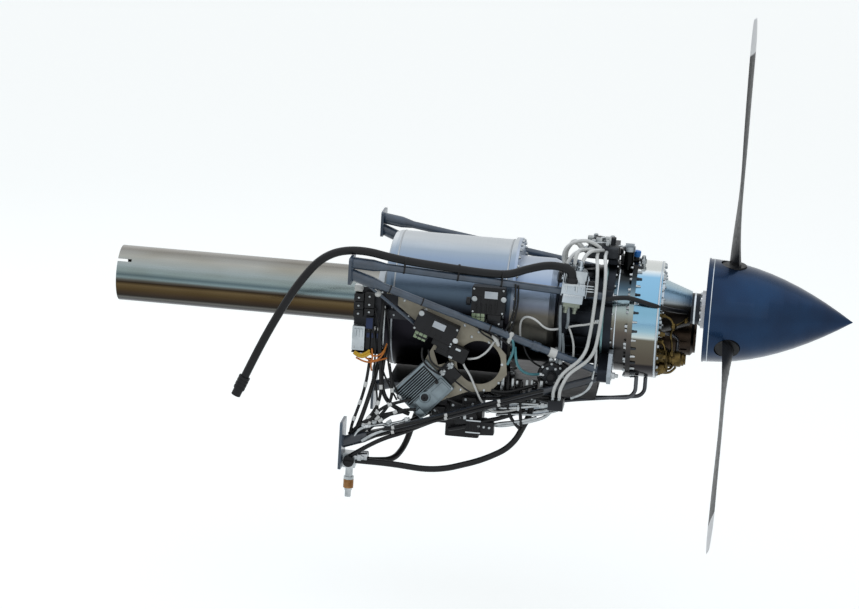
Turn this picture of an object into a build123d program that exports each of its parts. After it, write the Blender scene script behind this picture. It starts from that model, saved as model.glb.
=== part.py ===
from build123d import *
import math
import os

# Small turboprop engine with its propeller, exhaust duct and welded strut mount.
# Millimetres. +X points forward, along the flight direction, and +Z up.
# The origin is the middle of the four firewall bolts, on the face of the firewall.

# Mount and main axes
foot_pitch_y = 700.0           # firewall bolts, across
foot_pitch_z = 520.0           # firewall bolts, up and down
firewall_bolt_hole = 11.0
core_height = 110.0            # core axis above the middle of the bolts
propeller_rise = 42.0          # propeller axis above the core axis

# Lengths along the core, from the firewall forward
casing_standoff = 80.0         # firewall to the rear wall of the recuperator casing
casing_length = 375.0
combustor_length = 135.0
compressor_length = 100.0
intake_gap = 32.0
ring_thickness = 28.0
inlet_case_length = 62.0
gearbox_length = 76.0
nose_length = 87.0
duct_length = 820.0
spinner_length = 416.0

# Radii and walls of the core
casing_radius = 200.0
casing_edge_round = 20.0
combustor_radius = 155.0
shoulder_round = 26.0
sheet_wall = 2.0
casing_flange_radius = 207.0
casing_flange_thickness = 10.0
cover_radius = 125.0
duct_radius = 83.0
duct_wall = 1.5
duct_slit_length = 42.0
duct_slit_width = 9.0
ring_radius = 168.0
ring_web = 8.0
inlet_radius = 160.0
inlet_flange_radius = 178.0
inlet_flange_thickness = 14.0
case_wall = 5.0
gearbox_radius = 173.0
nose_rear_radius = 82.0
nose_front_radius = 51.0

# Rotor and gears
shaft_radius = 10.0
bearing_radius = 22.0
bearing_width = 12.0
running_fit = 0.05
turbine_radius = 62.0
turbine_blades = 13
impeller_radius = 56.0
impeller_inlet_radius = 36.0
impeller_blades = 10
pressure_angle = 25.0
fast_module = 2.0
fast_pinion_teeth = 12
fast_gear_teeth = 60
slow_module = 2.75
slow_pinion_teeth = 12
slow_gear_teeth = 48
fast_face_width = 20.0
slow_face_width = 22.0
gear_backlash = 0.5
propeller_shaft_radius = 22.0
propeller_journal_radius = 12.0

# Propeller
propeller_radius = 885.0
blade_count = 3
first_blade_lean = 4.75        # degrees from upright, towards -Y
blade_pitch_length = 1100.0    # advance in one turn, sets the twist
blade_setting = 24.0           # degrees taken off the twist at the ground stop
feather_travel = 78.0
reverse_travel = 12.0
blade_station = 56.0           # blade axis ahead of the spinner seam
shank_radius = 26.0
root_disc_radius = 36.0
hub_reach = 100.0
hub_length = 118.0
crank_throw = 12.0
crank_pin_radius = 4.0
groove_clearance = 0.7
piston_radius = 36.0
spinner_radius = 152.0
spinner_fullness = 1.8         # power of the dome curve, 1 would be a plain cone
spinner_wall = 3.0
backplate_depth = 17.0

# Strut mount
strut_radius = 11.0
strut_wall = 2.0
socket_radius = 17.0
socket_length = 95.0
foot_width = 85.0
foot_height = 78.0
foot_thickness = 8.0
foot_inset = 32.0              # strut ends inboard of the bolt
upper_ear_angle = 151.0        # about the core axis, 180 is the -Y side
upper_ear_reach = 197.0
lower_ear_angle = 215.0
lower_ear_reach = 233.0
ear_radius = 22.0

# Equipment
rail_length = 340.0
rail_height = 24.0
rail_depth = 28.7
sheet_gauge = 3.0
cutout_radius = 65.0
unit_thickness = 36.0
regulator_length = 137.0
regulator_width = 120.0
regulator_base = 18.0
regulator_fin_height = 10.0
regulator_fins = 9
tray_half_width = 200.0
tray_length = 612.0
seat_gap = 0.3
hose_radius = 12.0
white_tube_radius = 5.0
fuel_hose_radius = 9.0
pipe_radius = 6.0

# Stations worked out from the lengths
casing_rear = casing_standoff
casing_front = casing_rear + casing_length
combustor_front = casing_front + combustor_length
cover_front = combustor_front + compressor_length
ring_rear = cover_front + intake_gap
ring_front = ring_rear + ring_thickness
inlet_front = ring_front + inlet_case_length
gearbox_front = inlet_front + gearbox_length
nose_front = gearbox_front + nose_length
propeller_height = core_height + propeller_rise
flange_front = nose_front + 42
spinner_seam = flange_front + backplate_depth
blade_axis = spinner_seam + blade_station
fast_gear_rear = inlet_front + 4
slow_gear_rear = fast_gear_rear + fast_face_width + 6

# Layshaft axis, set by the two centre distances
fast_centres = fast_module * (fast_pinion_teeth + fast_gear_teeth) / 2
slow_centres = slow_module * (slow_pinion_teeth + slow_gear_teeth) / 2
layshaft_rise = (fast_centres ** 2 - slow_centres ** 2 + propeller_rise ** 2) / (2 * propeller_rise)
layshaft_side = math.sqrt(fast_centres ** 2 - layshaft_rise ** 2)
layshaft_height = core_height + layshaft_rise

# Pitch mechanism: the crank pins swing evenly each side of square to the shaft
crank_rest = -(feather_travel - reverse_travel) / 2
crank_swing = math.radians(feather_travel + reverse_travel) / 2
piston_travel = crank_throw * math.sin(crank_swing) / crank_swing


def turned(outline, height, side=0.0):
    """Piece turned about a fore-and-aft axis, from its (station, radius) outline."""
    face = make_face(Polyline([(x, 0, r) for x, r in outline], close=True))
    return Pos(0, side, height) * revolve(face, Axis.X)


def bar(rear, front, radius, height, side=0.0):
    """Round bar along X."""
    return Pos(rear, side, height) * extrude(Plane.YZ * Circle(radius), front - rear)


def block(low, high):
    """Box between two corners."""
    size = [b - a for a, b in zip(low, high)]
    middle = [(a + b) / 2 for a, b in zip(low, high)]
    return Pos(*middle) * Box(*size)


def corner_radii(points, share=0.45):
    """Bend radius at each inner point, as large as the shorter run beside it allows."""
    radii = []
    for before, here, after in zip(points, points[1:], points[2:]):
        arriving = Vector(*here) - Vector(*before)
        leaving = Vector(*after) - Vector(*here)
        half_turn = math.radians(arriving.get_angle(leaving)) / 2
        radii.append(share * min(arriving.length, leaving.length) / math.tan(half_turn))
    return radii


def bent_rod(points, radius):
    """Hose or pipe of round section along straight runs joined by arcs."""
    path = FilletPolyline(*points, radius=corner_radii(points))
    start = Plane(path @ 0, z_dir=path % 0)
    return sweep(start * Circle(radius), path=path)


def write(shape, node):
    export_step(shape, "parts/" + node + ".step")


# Core casings, rear to front

def exhaust_duct():
    """Straight polished tube with a slit at its open end and a flange on the casing."""
    end = casing_rear - duct_length
    bore = duct_radius - duct_wall
    tube = turned([(end, bore), (end, duct_radius), (casing_rear - 5, duct_radius),
                   (casing_rear - 5, duct_radius + 14), (casing_rear, duct_radius + 14),
                   (casing_rear, bore)], core_height)
    slit_angle = 50
    slit = Pos(end, 0, core_height) * Rot(slit_angle, 0, 0) * block(
        (-1, -duct_slit_width / 2, duct_radius - 12),
        (duct_slit_length, duct_slit_width / 2, duct_radius + 3))
    return tube - slit


def recuperator_casing():
    """Large rolled drum with a rounded rear edge and a bolting flange in front."""
    inner = casing_radius - sheet_wall
    lip = casing_edge_round * (1 - math.sqrt(0.5))
    return turned([(casing_rear, duct_radius - duct_wall),
                   (casing_rear, casing_radius - casing_edge_round),
                   (casing_rear + lip, casing_radius - lip),
                   (casing_rear + casing_edge_round, casing_radius),
                   (casing_front - casing_flange_thickness, casing_radius),
                   (casing_front - casing_flange_thickness, casing_flange_radius),
                   (casing_front, casing_flange_radius),
                   (casing_front, inner),
                   (casing_rear + casing_edge_round, inner),
                   (casing_rear + sheet_wall, casing_radius - casing_edge_round),
                   (casing_rear + sheet_wall, duct_radius - duct_wall)], core_height)


def recuperator_core():
    """Ring of flat-sided heat exchanger blocks standing inside the drum."""
    count = 12
    half = math.pi / count
    outer = casing_radius - sheet_wall - seat_gap
    inner = 112.0
    joint = 0.2
    wedge = [(inner * math.cos(half), -inner * math.sin(half) + joint),
             (outer * math.cos(half), -outer * math.sin(half) + joint),
             (outer * math.cos(half), outer * math.sin(half) - joint),
             (inner * math.cos(half), inner * math.sin(half) - joint)]
    rear = casing_rear + casing_edge_round + 10
    plane = Plane.YZ.offset(rear)
    piece = extrude(plane * make_face(Polyline(wedge, close=True)), casing_front - 35 - rear)
    blocks = [Pos(0, 0, core_height) * Rot(360 / count * i, 0, 0) * piece for i in range(count)]
    return Compound(children=blocks)


def combustor_casing():
    """Pressed casing ahead of the drum, rounded to its flat front wall."""
    bend = shoulder_round * (1 - math.sqrt(0.5))
    inner = combustor_radius - sheet_wall
    return turned([(casing_front, inner), (casing_front, casing_flange_radius),
                   (casing_front + 8, casing_flange_radius),
                   (casing_front + 8, combustor_radius),
                   (combustor_front - shoulder_round, combustor_radius),
                   (combustor_front - bend, combustor_radius - bend),
                   (combustor_front, combustor_radius - shoulder_round),
                   (combustor_front, 35.0),
                   (combustor_front - sheet_wall, 35.0),
                   (combustor_front - sheet_wall, combustor_radius - shoulder_round),
                   (combustor_front - shoulder_round, inner)], core_height)


def combustor_liner():
    """Flame tube, open in front and drawn in to the turbine behind."""
    outer = combustor_radius - shoulder_round - 4
    front = combustor_front - sheet_wall
    rear = casing_front + 23
    return turned([(front, outer), (rear, outer), (rear, turbine_radius + 4),
                   (rear + sheet_wall, turbine_radius + 4),
                   (rear + sheet_wall, outer - sheet_wall), (front, outer - sheet_wall)],
                  core_height)


def centre_housing():
    """Bearing tube between turbine and compressor, with its fixing flange."""
    bore = bearing_radius + running_fit
    return turned([(combustor_front - 45, bore), (combustor_front - 45, 34.0),
                   (combustor_front, 34.0), (combustor_front, 57.5),
                   (combustor_front + 8, 57.5), (combustor_front + 8, 30.0),
                   (combustor_front + 42, 30.0), (combustor_front + 42, bore)], core_height)


def compressor_cover():
    """Cast cover round the impeller, with posts across the air intake gap."""
    shroud = impeller_radius + 1.5
    eye = impeller_inlet_radius + 1.5
    cover = turned([(combustor_front, 58.0), (combustor_front, cover_radius),
                    (combustor_front + 12, cover_radius), (combustor_front + 50, 104.0),
                    (cover_front, eye + 22), (cover_front, eye),
                    (combustor_front + 62, shroud), (combustor_front + 44, shroud),
                    (combustor_front + 44, 58.0)], core_height)
    posts = 6
    post = block((cover_front - 4, -9, eye + 8), (ring_front - ring_web, 9, eye + 20))
    for i in range(posts):
        cover += Pos(0, 0, core_height) * Rot(360 / posts * (i + 0.5), 0, 0) * post
    return cover


def ear(angle, reach):
    """Tab on the mounting ring that takes the ends of the struts."""
    root = ring_radius - 12
    tab = Pos((root + reach) / 2, 0) * Rectangle(reach - root, 2 * ear_radius)
    tab += Pos(reach, 0) * Circle(ear_radius)
    shape = extrude(Plane.YZ.offset(ring_rear) * (Rot(0, 0, angle) * tab), ring_thickness)
    return Pos(0, 0, core_height) * shape


def mount_ring():
    """Machined bulkhead that carries the engine on four ears."""
    rim = ring_radius - 18
    web = ring_front - ring_web
    ring = turned([(ring_rear, ring_radius), (ring_front, ring_radius), (ring_front, 24.0),
                   (web, 24.0), (web, rim), (ring_rear, rim)], core_height)
    for angle, reach in ((upper_ear_angle, upper_ear_reach), (lower_ear_angle, lower_ear_reach)):
        ring += ear(angle, reach)
        ring += ear(180 - angle, reach)
    pad = block((ring_rear, -40, core_height + ring_radius - 10),
                (ring_front, 40, core_height + ring_radius + 10))
    return ring + pad


filler_station = inlet_front - inlet_flange_thickness - 15.5
filler_side = -40.0
filler_top = core_height + inlet_radius + 48


def inlet_case():
    """Polished band and bolted flange that close the rear of the gearbox."""
    wall = inlet_front - 12
    flange_rear = inlet_front - inlet_flange_thickness
    inner = inlet_radius - case_wall
    case = turned([(ring_front, inner), (ring_front, inlet_radius), (flange_rear, inlet_radius),
                   (flange_rear, inlet_flange_radius), (inlet_front, inlet_flange_radius),
                   (inlet_front, 16.0), (wall, 16.0), (wall, inner)], core_height)
    neck = Pos(filler_station, filler_side, core_height + inlet_radius - 6.5) * extrude(
        Circle(14), filler_top - core_height - inlet_radius + 6.5)
    case += neck
    case -= bar(wall - 1, inlet_front + 1, bearing_radius + running_fit, propeller_height)
    return case - bar(wall - 1, inlet_front + 1, shaft_radius + running_fit,
                      layshaft_height, layshaft_side)


def gearbox_case():
    """Polished ring with a closed front wall round the reduction gears."""
    wall = gearbox_front - 8
    inner = gearbox_radius - case_wall
    case = turned([(inlet_front, inner), (inlet_front, gearbox_radius),
                   (gearbox_front, gearbox_radius), (gearbox_front, 0), (wall, 0),
                   (wall, inner)], core_height)
    case -= bar(wall - 1, gearbox_front + 1, 60.0, propeller_height)
    return case - bar(wall - 1, gearbox_front - 2, shaft_radius + running_fit,
                      layshaft_height, layshaft_side)


def nose_housing():
    """Cast cone that carries the front bearing of the propeller shaft, with its seal cover."""
    seat = nose_front - 25
    bore = 36.0 + running_fit
    cover = nose_front + 26
    opening = propeller_shaft_radius + 2
    return turned([(gearbox_front, 60.0), (gearbox_front, nose_rear_radius),
                   (nose_front, nose_front_radius), (nose_front, 45.0), (cover, 45.0),
                   (cover, opening), (nose_front, opening), (nose_front, bore),
                   (seat, bore), (seat, nose_front_radius - 9)], propeller_height)


def filler_cap():
    """Quarter-turn cap of the oil filler, with two finger flats."""
    cap = Pos(filler_station, filler_side, filler_top + seat_gap) * extrude(Circle(17), 14)
    grip = Pos(filler_station, filler_side, filler_top + seat_gap + 14) * extrude(
        Rectangle(26, 8), 8)
    return cap + grip


# Rotating parts

def involute(angle):
    return math.tan(angle) - angle


def gear_outline(teeth, module, flank_steps):
    """Closed outline of an involute gear whose first tooth is centred on +u."""
    pitch_radius = module * teeth / 2
    base = pitch_radius * math.cos(math.radians(pressure_angle))
    tip = pitch_radius + 0.95 * module
    root = pitch_radius - 1.25 * module
    start = max(root + 0.2 * module, base)
    half_pitch = math.pi / (2 * teeth) - gear_backlash / (4 * pitch_radius)
    offset = half_pitch + involute(math.radians(pressure_angle))
    flank = []
    for step in range(flank_steps + 1):
        radius = start + (tip - start) * step / flank_steps
        flank.append((radius, offset - involute(math.acos(base / radius))))
    rising = [(root, flank[0][1])] + flank
    points = []
    for tooth in range(teeth):
        centre = 2 * math.pi * tooth / teeth
        for radius, half in rising:
            points.append((radius * math.cos(centre - half), radius * math.sin(centre - half)))
        for radius, half in reversed(rising):
            points.append((radius * math.cos(centre + half), radius * math.sin(centre + half)))
    return points


def gear(teeth, module, rear, width, phase, flank_steps):
    """Spur gear about the X axis, turned so that one tooth points at the phase angle."""
    face = make_face(Polyline(gear_outline(teeth, module, flank_steps), close=True))
    return extrude(Plane.YZ.offset(rear) * (Rot(0, 0, phase) * face), width)


to_layshaft = math.degrees(math.atan2(layshaft_rise, layshaft_side))
to_propeller = math.degrees(math.atan2(propeller_rise - layshaft_rise, -layshaft_side))


def rotor_shaft():
    """One shaft from the turbine to the fast pinion that is cut on its front end."""
    shaft = bar(casing_front + 41, fast_gear_rear, shaft_radius, core_height)
    pinion = gear(fast_pinion_teeth, fast_module, fast_gear_rear, fast_face_width, to_layshaft, 3)
    return shaft + Pos(0, 0, core_height) * pinion


def turbine_wheel():
    """Turbine disc with a ring of inclined blades."""
    rear = casing_front + 42
    bore = shaft_radius + running_fit
    hub = turbine_radius - 20
    wheel = turned([(rear, bore), (rear, hub), (rear + 22, hub), (rear + 22, bore)], core_height)
    blade = Pos(rear + 11, 0, (hub + turbine_radius) / 2 - 1) * Rot(0, 0, 32) * Box(
        22, 2.5, turbine_radius - hub + 2)
    for i in range(turbine_blades):
        wheel += Pos(0, 0, core_height) * Rot(360 / turbine_blades * i, 0, 0) * blade
    return wheel


def compressor_impeller():
    """Radial impeller: a conical hub with swept vanes that follow the cover."""
    rear = combustor_front + 46
    front = cover_front - 2
    bore = shaft_radius + running_fit
    hub = turned([(rear, bore), (rear, impeller_radius - 2), (rear + 4, impeller_radius - 2),
                  (front, bore + 4), (front, bore)], core_height)
    vane_face = make_face(Polyline([(rear + 1, 0, 14), (rear + 1, 0, impeller_radius),
                                    (rear + 14, 0, impeller_radius),
                                    (front, 0, impeller_inlet_radius),
                                    (front, 0, 12)], close=True))
    vane = extrude(vane_face, 1.2, both=True)
    for i in range(impeller_blades):
        hub += Pos(0, 0, core_height) * Rot(360 / impeller_blades * i, 0, 0) * vane
    return hub - bar(rear - 1, front + 1, bore, core_height)


def bearing(rear, outer, inner, height, side=0.0, width=bearing_width):
    """Rolling bearing, as one ring between shaft and seat."""
    return turned([(rear, inner + running_fit), (rear, outer), (rear + width, outer),
                   (rear + width, inner + running_fit)], height, side)


def shaft_bearings():
    """Two bearings of the rotor and two of the propeller shaft."""
    return Compound(children=[
        bearing(combustor_front - 44, bearing_radius, shaft_radius, core_height),
        bearing(combustor_front + 29, bearing_radius, shaft_radius, core_height),
        bearing(inlet_front - 12, bearing_radius, propeller_journal_radius, propeller_height),
        bearing(nose_front - 24, 36.0, propeller_shaft_radius, propeller_height, width=20.0)])


def layshaft():
    """Layshaft with the slow pinion cut on it, and journals in both walls."""
    journal = inlet_front - 10
    shaft = bar(journal, gearbox_front - 3, shaft_radius, layshaft_height, layshaft_side)
    pinion = gear(slow_pinion_teeth, slow_module, slow_gear_rear - 2, slow_face_width + 4,
                  to_propeller, 3)
    return shaft + Pos(0, layshaft_side, layshaft_height) * pinion


def layshaft_gear():
    """Large fast gear pressed on the layshaft, with a thinned web."""
    phase = to_layshaft + 180 + 180 / fast_gear_teeth
    wheel = gear(fast_gear_teeth, fast_module, fast_gear_rear, fast_face_width, phase, 1)
    wheel = Pos(0, layshaft_side, layshaft_height) * wheel
    return wheel - bar(fast_gear_rear - 1, fast_gear_rear + fast_face_width + 1,
                       shaft_radius + running_fit, layshaft_height, layshaft_side)


def output_gear():
    """Slow gear on the propeller shaft."""
    phase = to_propeller + 180 + 180 / slow_gear_teeth
    wheel = gear(slow_gear_teeth, slow_module, slow_gear_rear, slow_face_width, phase, 1)
    wheel = Pos(0, 0, propeller_height) * wheel
    return wheel - bar(slow_gear_rear - 1, slow_gear_rear + slow_face_width + 1,
                       18.0 + running_fit, propeller_height)


def propeller_shaft():
    """Stepped shaft with the flange that carries the hub."""
    flange_rear = flange_front - 12
    gear_front = slow_gear_rear + slow_face_width
    return turned([(inlet_front - 12, 0), (inlet_front - 12, propeller_journal_radius),
                   (slow_gear_rear, propeller_journal_radius), (slow_gear_rear, 18.0),
                   (gear_front, 18.0), (gear_front, propeller_shaft_radius),
                   (flange_rear, propeller_shaft_radius), (flange_rear, 56.0),
                   (flange_front, 56.0), (flange_front, 0)], propeller_height)


# Propeller

hub_rear = flange_front + 4
hub_front = hub_rear + hub_length
cavity_radius = 47.0
shank_inner = 52.0
shank_outer = hub_reach + seat_gap
root_disc_top = 146.0


def around_propeller(piece, index):
    """Turn a piece from straight up to the place of one blade."""
    angle = first_blade_lean + 360 / blade_count * index
    return Pos(blade_axis, 0, propeller_height) * Rot(angle, 0, 0) * piece


def blade_section(radius, chord, thickness, axis_share):
    """Aerofoil section across the blade: two arcs between its nose and its tail."""
    setting = math.atan(blade_pitch_length / (2 * math.pi * radius)) - math.radians(blade_setting)
    along = Vector(math.sin(setting), -math.cos(setting), 0)
    across = Vector(math.cos(setting), math.sin(setting), 0)
    lift = Vector(0, 0, radius)
    nose = lift + along * (chord * axis_share)
    tail = lift - along * (chord * (1 - axis_share))
    crown = lift + along * (chord * (axis_share - 0.4)) + across * (thickness * 0.72)
    belly = lift + along * (chord * (axis_share - 0.5)) - across * (thickness * 0.28)
    return make_face([ThreePointArc(nose, crown, tail), ThreePointArc(tail, belly, nose)])


def propeller_blade():
    """Twisted blade, pointing up from the hub centre, with its root disc and crank pin."""
    span = propeller_radius
    sections = [
        blade_section(root_disc_top - 8, 64.0, 27.0, 0.50),
        blade_section(0.21 * span, 74.0, 20.0, 0.47),
        blade_section(0.30 * span, 90.0, 14.0, 0.42),
        blade_section(0.45 * span, 104.0, 11.0, 0.40),
        blade_section(0.65 * span, 98.0, 8.0, 0.40),
        blade_section(0.85 * span, 80.0, 5.5, 0.42),
        blade_section(0.96 * span, 60.0, 4.0, 0.45),
        blade_section(span, 36.0, 2.5, 0.50),
    ]
    blade = loft(sections)
    blade += Pos(0, 0, shank_outer) * extrude(Circle(root_disc_radius),
                                              root_disc_top - shank_outer)
    blade += Pos(0, 0, shank_inner) * extrude(Circle(shank_radius - running_fit),
                                              shank_outer - shank_inner)
    pin_angle = math.radians(crank_rest)
    pin = Pos(crank_throw * math.sin(pin_angle), -crank_throw * math.cos(pin_angle), 32.0)
    return blade + pin * extrude(Circle(crank_pin_radius), shank_inner - 32.0)


def propeller_hub():
    """Machined six-sided hub block with a socket for each blade and the piston cylinder."""
    corners = []
    half_flat = root_disc_radius + 4
    for i in range(blade_count):
        for side in (-1, 1):
            turn = math.radians(first_blade_lean + 90 + 360 / blade_count * i)
            u = hub_reach * math.cos(turn) - side * half_flat * math.sin(turn)
            v = hub_reach * math.sin(turn) + side * half_flat * math.cos(turn)
            corners.append((u, v))
    outline = make_face(Polyline(corners, close=True))
    hub = Pos(0, 0, propeller_height) * extrude(Plane.YZ.offset(hub_rear) * outline, hub_length)
    hub += bar(hub_front, hub_front + 44, piston_radius + 7, propeller_height)
    hub -= bar(hub_rear + 12, hub_front - 8, cavity_radius, propeller_height)
    hub -= bar(hub_front - 9, hub_front + 38, piston_radius + running_fit, propeller_height)
    socket = Pos(0, 0, 30) * extrude(Circle(shank_radius), hub_reach)
    for i in range(blade_count):
        hub -= around_propeller(socket, i)
    return hub


def pitch_piston():
    """Piston with a grooved spool that swings the crank pins of all three blades."""
    centre = blade_axis + piston_travel * math.radians(crank_rest)
    half = crank_pin_radius + groove_clearance
    disc = hub_front + 8
    rod = 12.0
    flange = 42.0
    return turned([(centre - half - 6, 0), (centre - half - 6, flange), (centre - half, flange),
                   (centre - half, 27.0), (centre + half, 27.0), (centre + half, flange),
                   (centre + half + 6, flange), (centre + half + 6, rod), (disc, rod),
                   (disc, piston_radius), (disc + 14, piston_radius), (disc + 14, 0)],
                  propeller_height)


def spinner_backplate():
    """Spun plate behind the hub with a deep rim that carries the dome."""
    rim = spinner_radius
    return turned([(flange_front, 20.0), (flange_front, rim + 2), (flange_front + 5, rim + 2),
                   (flange_front + 5, rim), (spinner_seam, rim), (spinner_seam, rim - 4),
                   (hub_rear, rim - 4), (hub_rear, 20.0)], propeller_height)


def spinner_dome():
    """Pointed spun dome with a round opening for each blade root."""
    rings = 10
    outline = []
    for ring in range(rings + 1):
        share = ring / rings
        outline.append((spinner_seam + spinner_length * share,
                        spinner_radius * (1 - share ** spinner_fullness)))
    middle = rings // 2 + 1
    outline += [(outline[-1][0] - 14, 0), (outline[middle][0], outline[middle][1] - spinner_wall - 1),
                (spinner_seam, spinner_radius - spinner_wall)]
    dome = turned(outline, propeller_height)
    opening = Pos(0, 0, 110) * extrude(Circle(root_disc_radius + 2), 60)
    for i in range(blade_count):
        dome -= around_propeller(opening, i)
    return dome


# Strut mount

def ear_point(angle, reach):
    """Place of an ear centre on the rear face of the mounting ring."""
    turn = math.radians(angle)
    return (ring_rear, reach * math.cos(turn), core_height + reach * math.sin(turn))


strut_side = foot_pitch_y / 2 - foot_inset
upper_foot_z = foot_pitch_z / 2
lower_foot_z = -foot_pitch_z / 2
upper_strut_start = (foot_thickness, -strut_side, upper_foot_z + 16)
diagonal_start = (foot_thickness, -strut_side, upper_foot_z - 20)
lower_strut_start = (foot_thickness, -strut_side, lower_foot_z)
upper_ear_point = ear_point(upper_ear_angle, upper_ear_reach)
lower_ear_point = ear_point(lower_ear_angle, lower_ear_reach)
# The diagonal and the lower strut meet one ear side by side
diagonal_end = (ring_rear, lower_ear_point[1], lower_ear_point[2] + strut_radius + 1)
lower_strut_end = (ring_rear, lower_ear_point[1], lower_ear_point[2] - strut_radius - 1)


def strut(start, end, collar_at=None):
    """Steel tube trimmed flush between the foot plate and the ring, with a tapered socket."""
    axis = Vector(*end) - Vector(*start)
    overrun = 40
    base = Plane(start, z_dir=axis.normalized()).offset(-overrun)
    tube = extrude(base * Circle(strut_radius), axis.length + 2 * overrun)
    socket = base * extrude(Circle(socket_radius), overrun + 0.6 * socket_length)
    taper = base.offset(overrun + 0.8 * socket_length) * Cone(
        socket_radius, strut_radius, 0.4 * socket_length)
    tube += socket + taper
    if collar_at:
        tube += extrude(base.offset(overrun + collar_at) * Circle(strut_radius + 3), 24)
    tube -= extrude(base * Circle(strut_radius - strut_wall), axis.length + 2 * overrun)
    slab = block((start[0], -2 * foot_pitch_y, -2 * foot_pitch_z),
                 (end[0], 2 * foot_pitch_y, 2 * foot_pitch_z))
    return tube & slab


def foot(height, bolt_z):
    """Firewall foot: a flat plate with one bolt hole, on the -Y side."""
    bolt_y = -foot_pitch_y / 2
    low = bolt_z - height / 2
    plate = block((0, bolt_y - 25, low), (foot_thickness, bolt_y - 25 + foot_width, low + height))
    plate = fillet(plate.edges().filter_by(Axis.X), 8)
    hole = extrude(Plane.YZ * Circle(firewall_bolt_hole / 2), 3 * foot_thickness)
    plate -= Pos(-foot_thickness, bolt_y, bolt_z) * hole
    return plate


def front_bracket():
    """Forked plate on the lower ear, reaching to the band of the inlet case."""
    inner = inlet_radius + 3
    outline = [(inner, -34), (inner + 16, -34), (lower_ear_reach - 6, -20),
               (lower_ear_reach + 20, -16), (lower_ear_reach + 20, 16),
               (lower_ear_reach - 6, 20), (inner + 16, 34), (inner, 34), (inner + 3, 24),
               (lower_ear_reach - 28, 0), (inner + 3, -24)]
    face = Rot(0, 0, lower_ear_angle) * make_face(Polyline(outline, close=True))
    return Pos(0, 0, core_height) * extrude(Plane.YZ.offset(ring_front) * face, 12)


# Equipment on the -Y side and below

rail_face = casing_radius + seat_gap + rail_depth
plate_outer = rail_face + sheet_gauge


def equipment_rail():
    """Folded channel along the drum that carries the side plate and the control units."""
    rear = casing_rear + 20
    profile = [(-casing_radius - seat_gap, -rail_height / 2), (-rail_face, -rail_height / 2),
               (-rail_face, rail_height / 2), (-casing_radius - seat_gap, rail_height / 2),
               (-casing_radius - seat_gap, rail_height / 2 - sheet_gauge),
               (-rail_face + sheet_gauge, rail_height / 2 - sheet_gauge),
               (-rail_face + sheet_gauge, -rail_height / 2 + sheet_gauge),
               (-casing_radius - seat_gap, -rail_height / 2 + sheet_gauge)]
    channel = extrude(Plane.YZ.offset(rear) * make_face(Polyline(profile, close=True)), rail_length)
    return Pos(0, 0, core_height) * channel


cutout_x = casing_rear + 298
cutout_z = core_height - 119
regulator_x = casing_rear + 142
regulator_z = core_height - 211
regulator_tilt = 48.0


def side_sheet(outline):
    """Flat sheet on the outer face of the rail, from its (x, z) outline."""
    face = make_face(Polyline([(x, 0, z) for x, z in outline], close=True))
    return Pos(0, -rail_face, 0) * extrude(face, sheet_gauge, dir=(0, -1, 0))


def gusset_plate():
    """Sheet-metal gusset with a round cut-out and an arm for the regulator."""
    top = core_height + 66
    plate = side_sheet([(casing_rear + 4, top), (casing_rear + 26, top + 4),
                        (cutout_x - 20, core_height - 14), (cutout_x + 26, core_height - 34),
                        (cutout_x + 78, cutout_z + 30), (cutout_x + 84, cutout_z - 30),
                        (cutout_x + 40, cutout_z - 84), (cutout_x - 30, cutout_z - 92),
                        (regulator_x + 60, regulator_z - 30), (regulator_x + 10, regulator_z - 60),
                        (regulator_x - 50, regulator_z), (regulator_x - 20, regulator_z + 50),
                        (regulator_x + 30, core_height - 60)])
    hole = Pos(cutout_x, -rail_face + 1, cutout_z) * extrude(
        Plane.XZ * Circle(cutout_radius), sheet_gauge + 2)
    slot = Pos(cutout_x - 110, -rail_face - 1, core_height - 110) * Rot(0, -20, 0) * Box(36, 20, 46)
    return plate - hole - slot


def box_unit(centre, size, tilt, ribs=0):
    """Closed electronics box with a mounting flange and cooling ribs on its face."""
    length, depth, height = size
    body = Box(length, depth, height)
    body = fillet(body.edges().filter_by(Axis.Y), 5)
    for i in range(ribs):
        x = (i - (ribs - 1) / 2) * length / (ribs + 1)
        body += Pos(x, -depth / 2 - 1.5, -height * 0.12) * Box(4, 3, height * 0.5)
    plug = Pos(-length * 0.22, -depth * 0.05, -height / 2 - 8) * Box(34, depth * 0.6, 16)
    return Pos(*centre) * Rot(0, tilt, 0) * (body + plug)


def control_unit_upper():
    """Control unit standing on the rail, beside the drum."""
    height = 80.0
    length = 98.0
    x = casing_front - casing_flange_thickness - 2 - length / 2
    y = -casing_radius - 0.5 - unit_thickness / 2
    z = core_height + rail_height / 2 + seat_gap + 16 + height / 2
    return box_unit((x, y, z), (length, unit_thickness, height), 0, 3)


def control_unit_lower():
    """Control unit bolted on the outer face of the gusset plate."""
    y = -plate_outer - unit_thickness / 2
    return box_unit((casing_rear + 170, y, core_height - 21), (128.0, unit_thickness, 58.0), 20, 0)


bracket_rear = 5.0
bracket_front = casing_rear + 17
bracket_low = core_height - 116
bracket_high = core_height + 78
bracket_outer = plate_outer + sheet_gauge


def harness_bracket():
    """Sheet at the rear edge of the gusset plate, lapped over its corner and folded at the foot."""
    sheet = block((bracket_rear, -bracket_outer, bracket_low), (bracket_front, -plate_outer, bracket_high))
    lap = block((bracket_front, -bracket_outer, core_height + 30),
                (bracket_front + 34, -plate_outer, core_height + 62))
    shelf = block((bracket_rear, -bracket_outer - 20, bracket_low),
                  (bracket_front, -plate_outer, bracket_low + sheet_gauge))
    return sheet + lap + shelf


def harness_box(x, z, size):
    """Box with rounded corners on the outer face of the harness bracket, from its rear low corner."""
    length, depth, height = size
    body = Pos(x + length / 2, -bracket_outer - depth / 2, z + height / 2) * Box(length, depth, height)
    return fillet(body.edges().filter_by(Axis.Y), 2)


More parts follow.
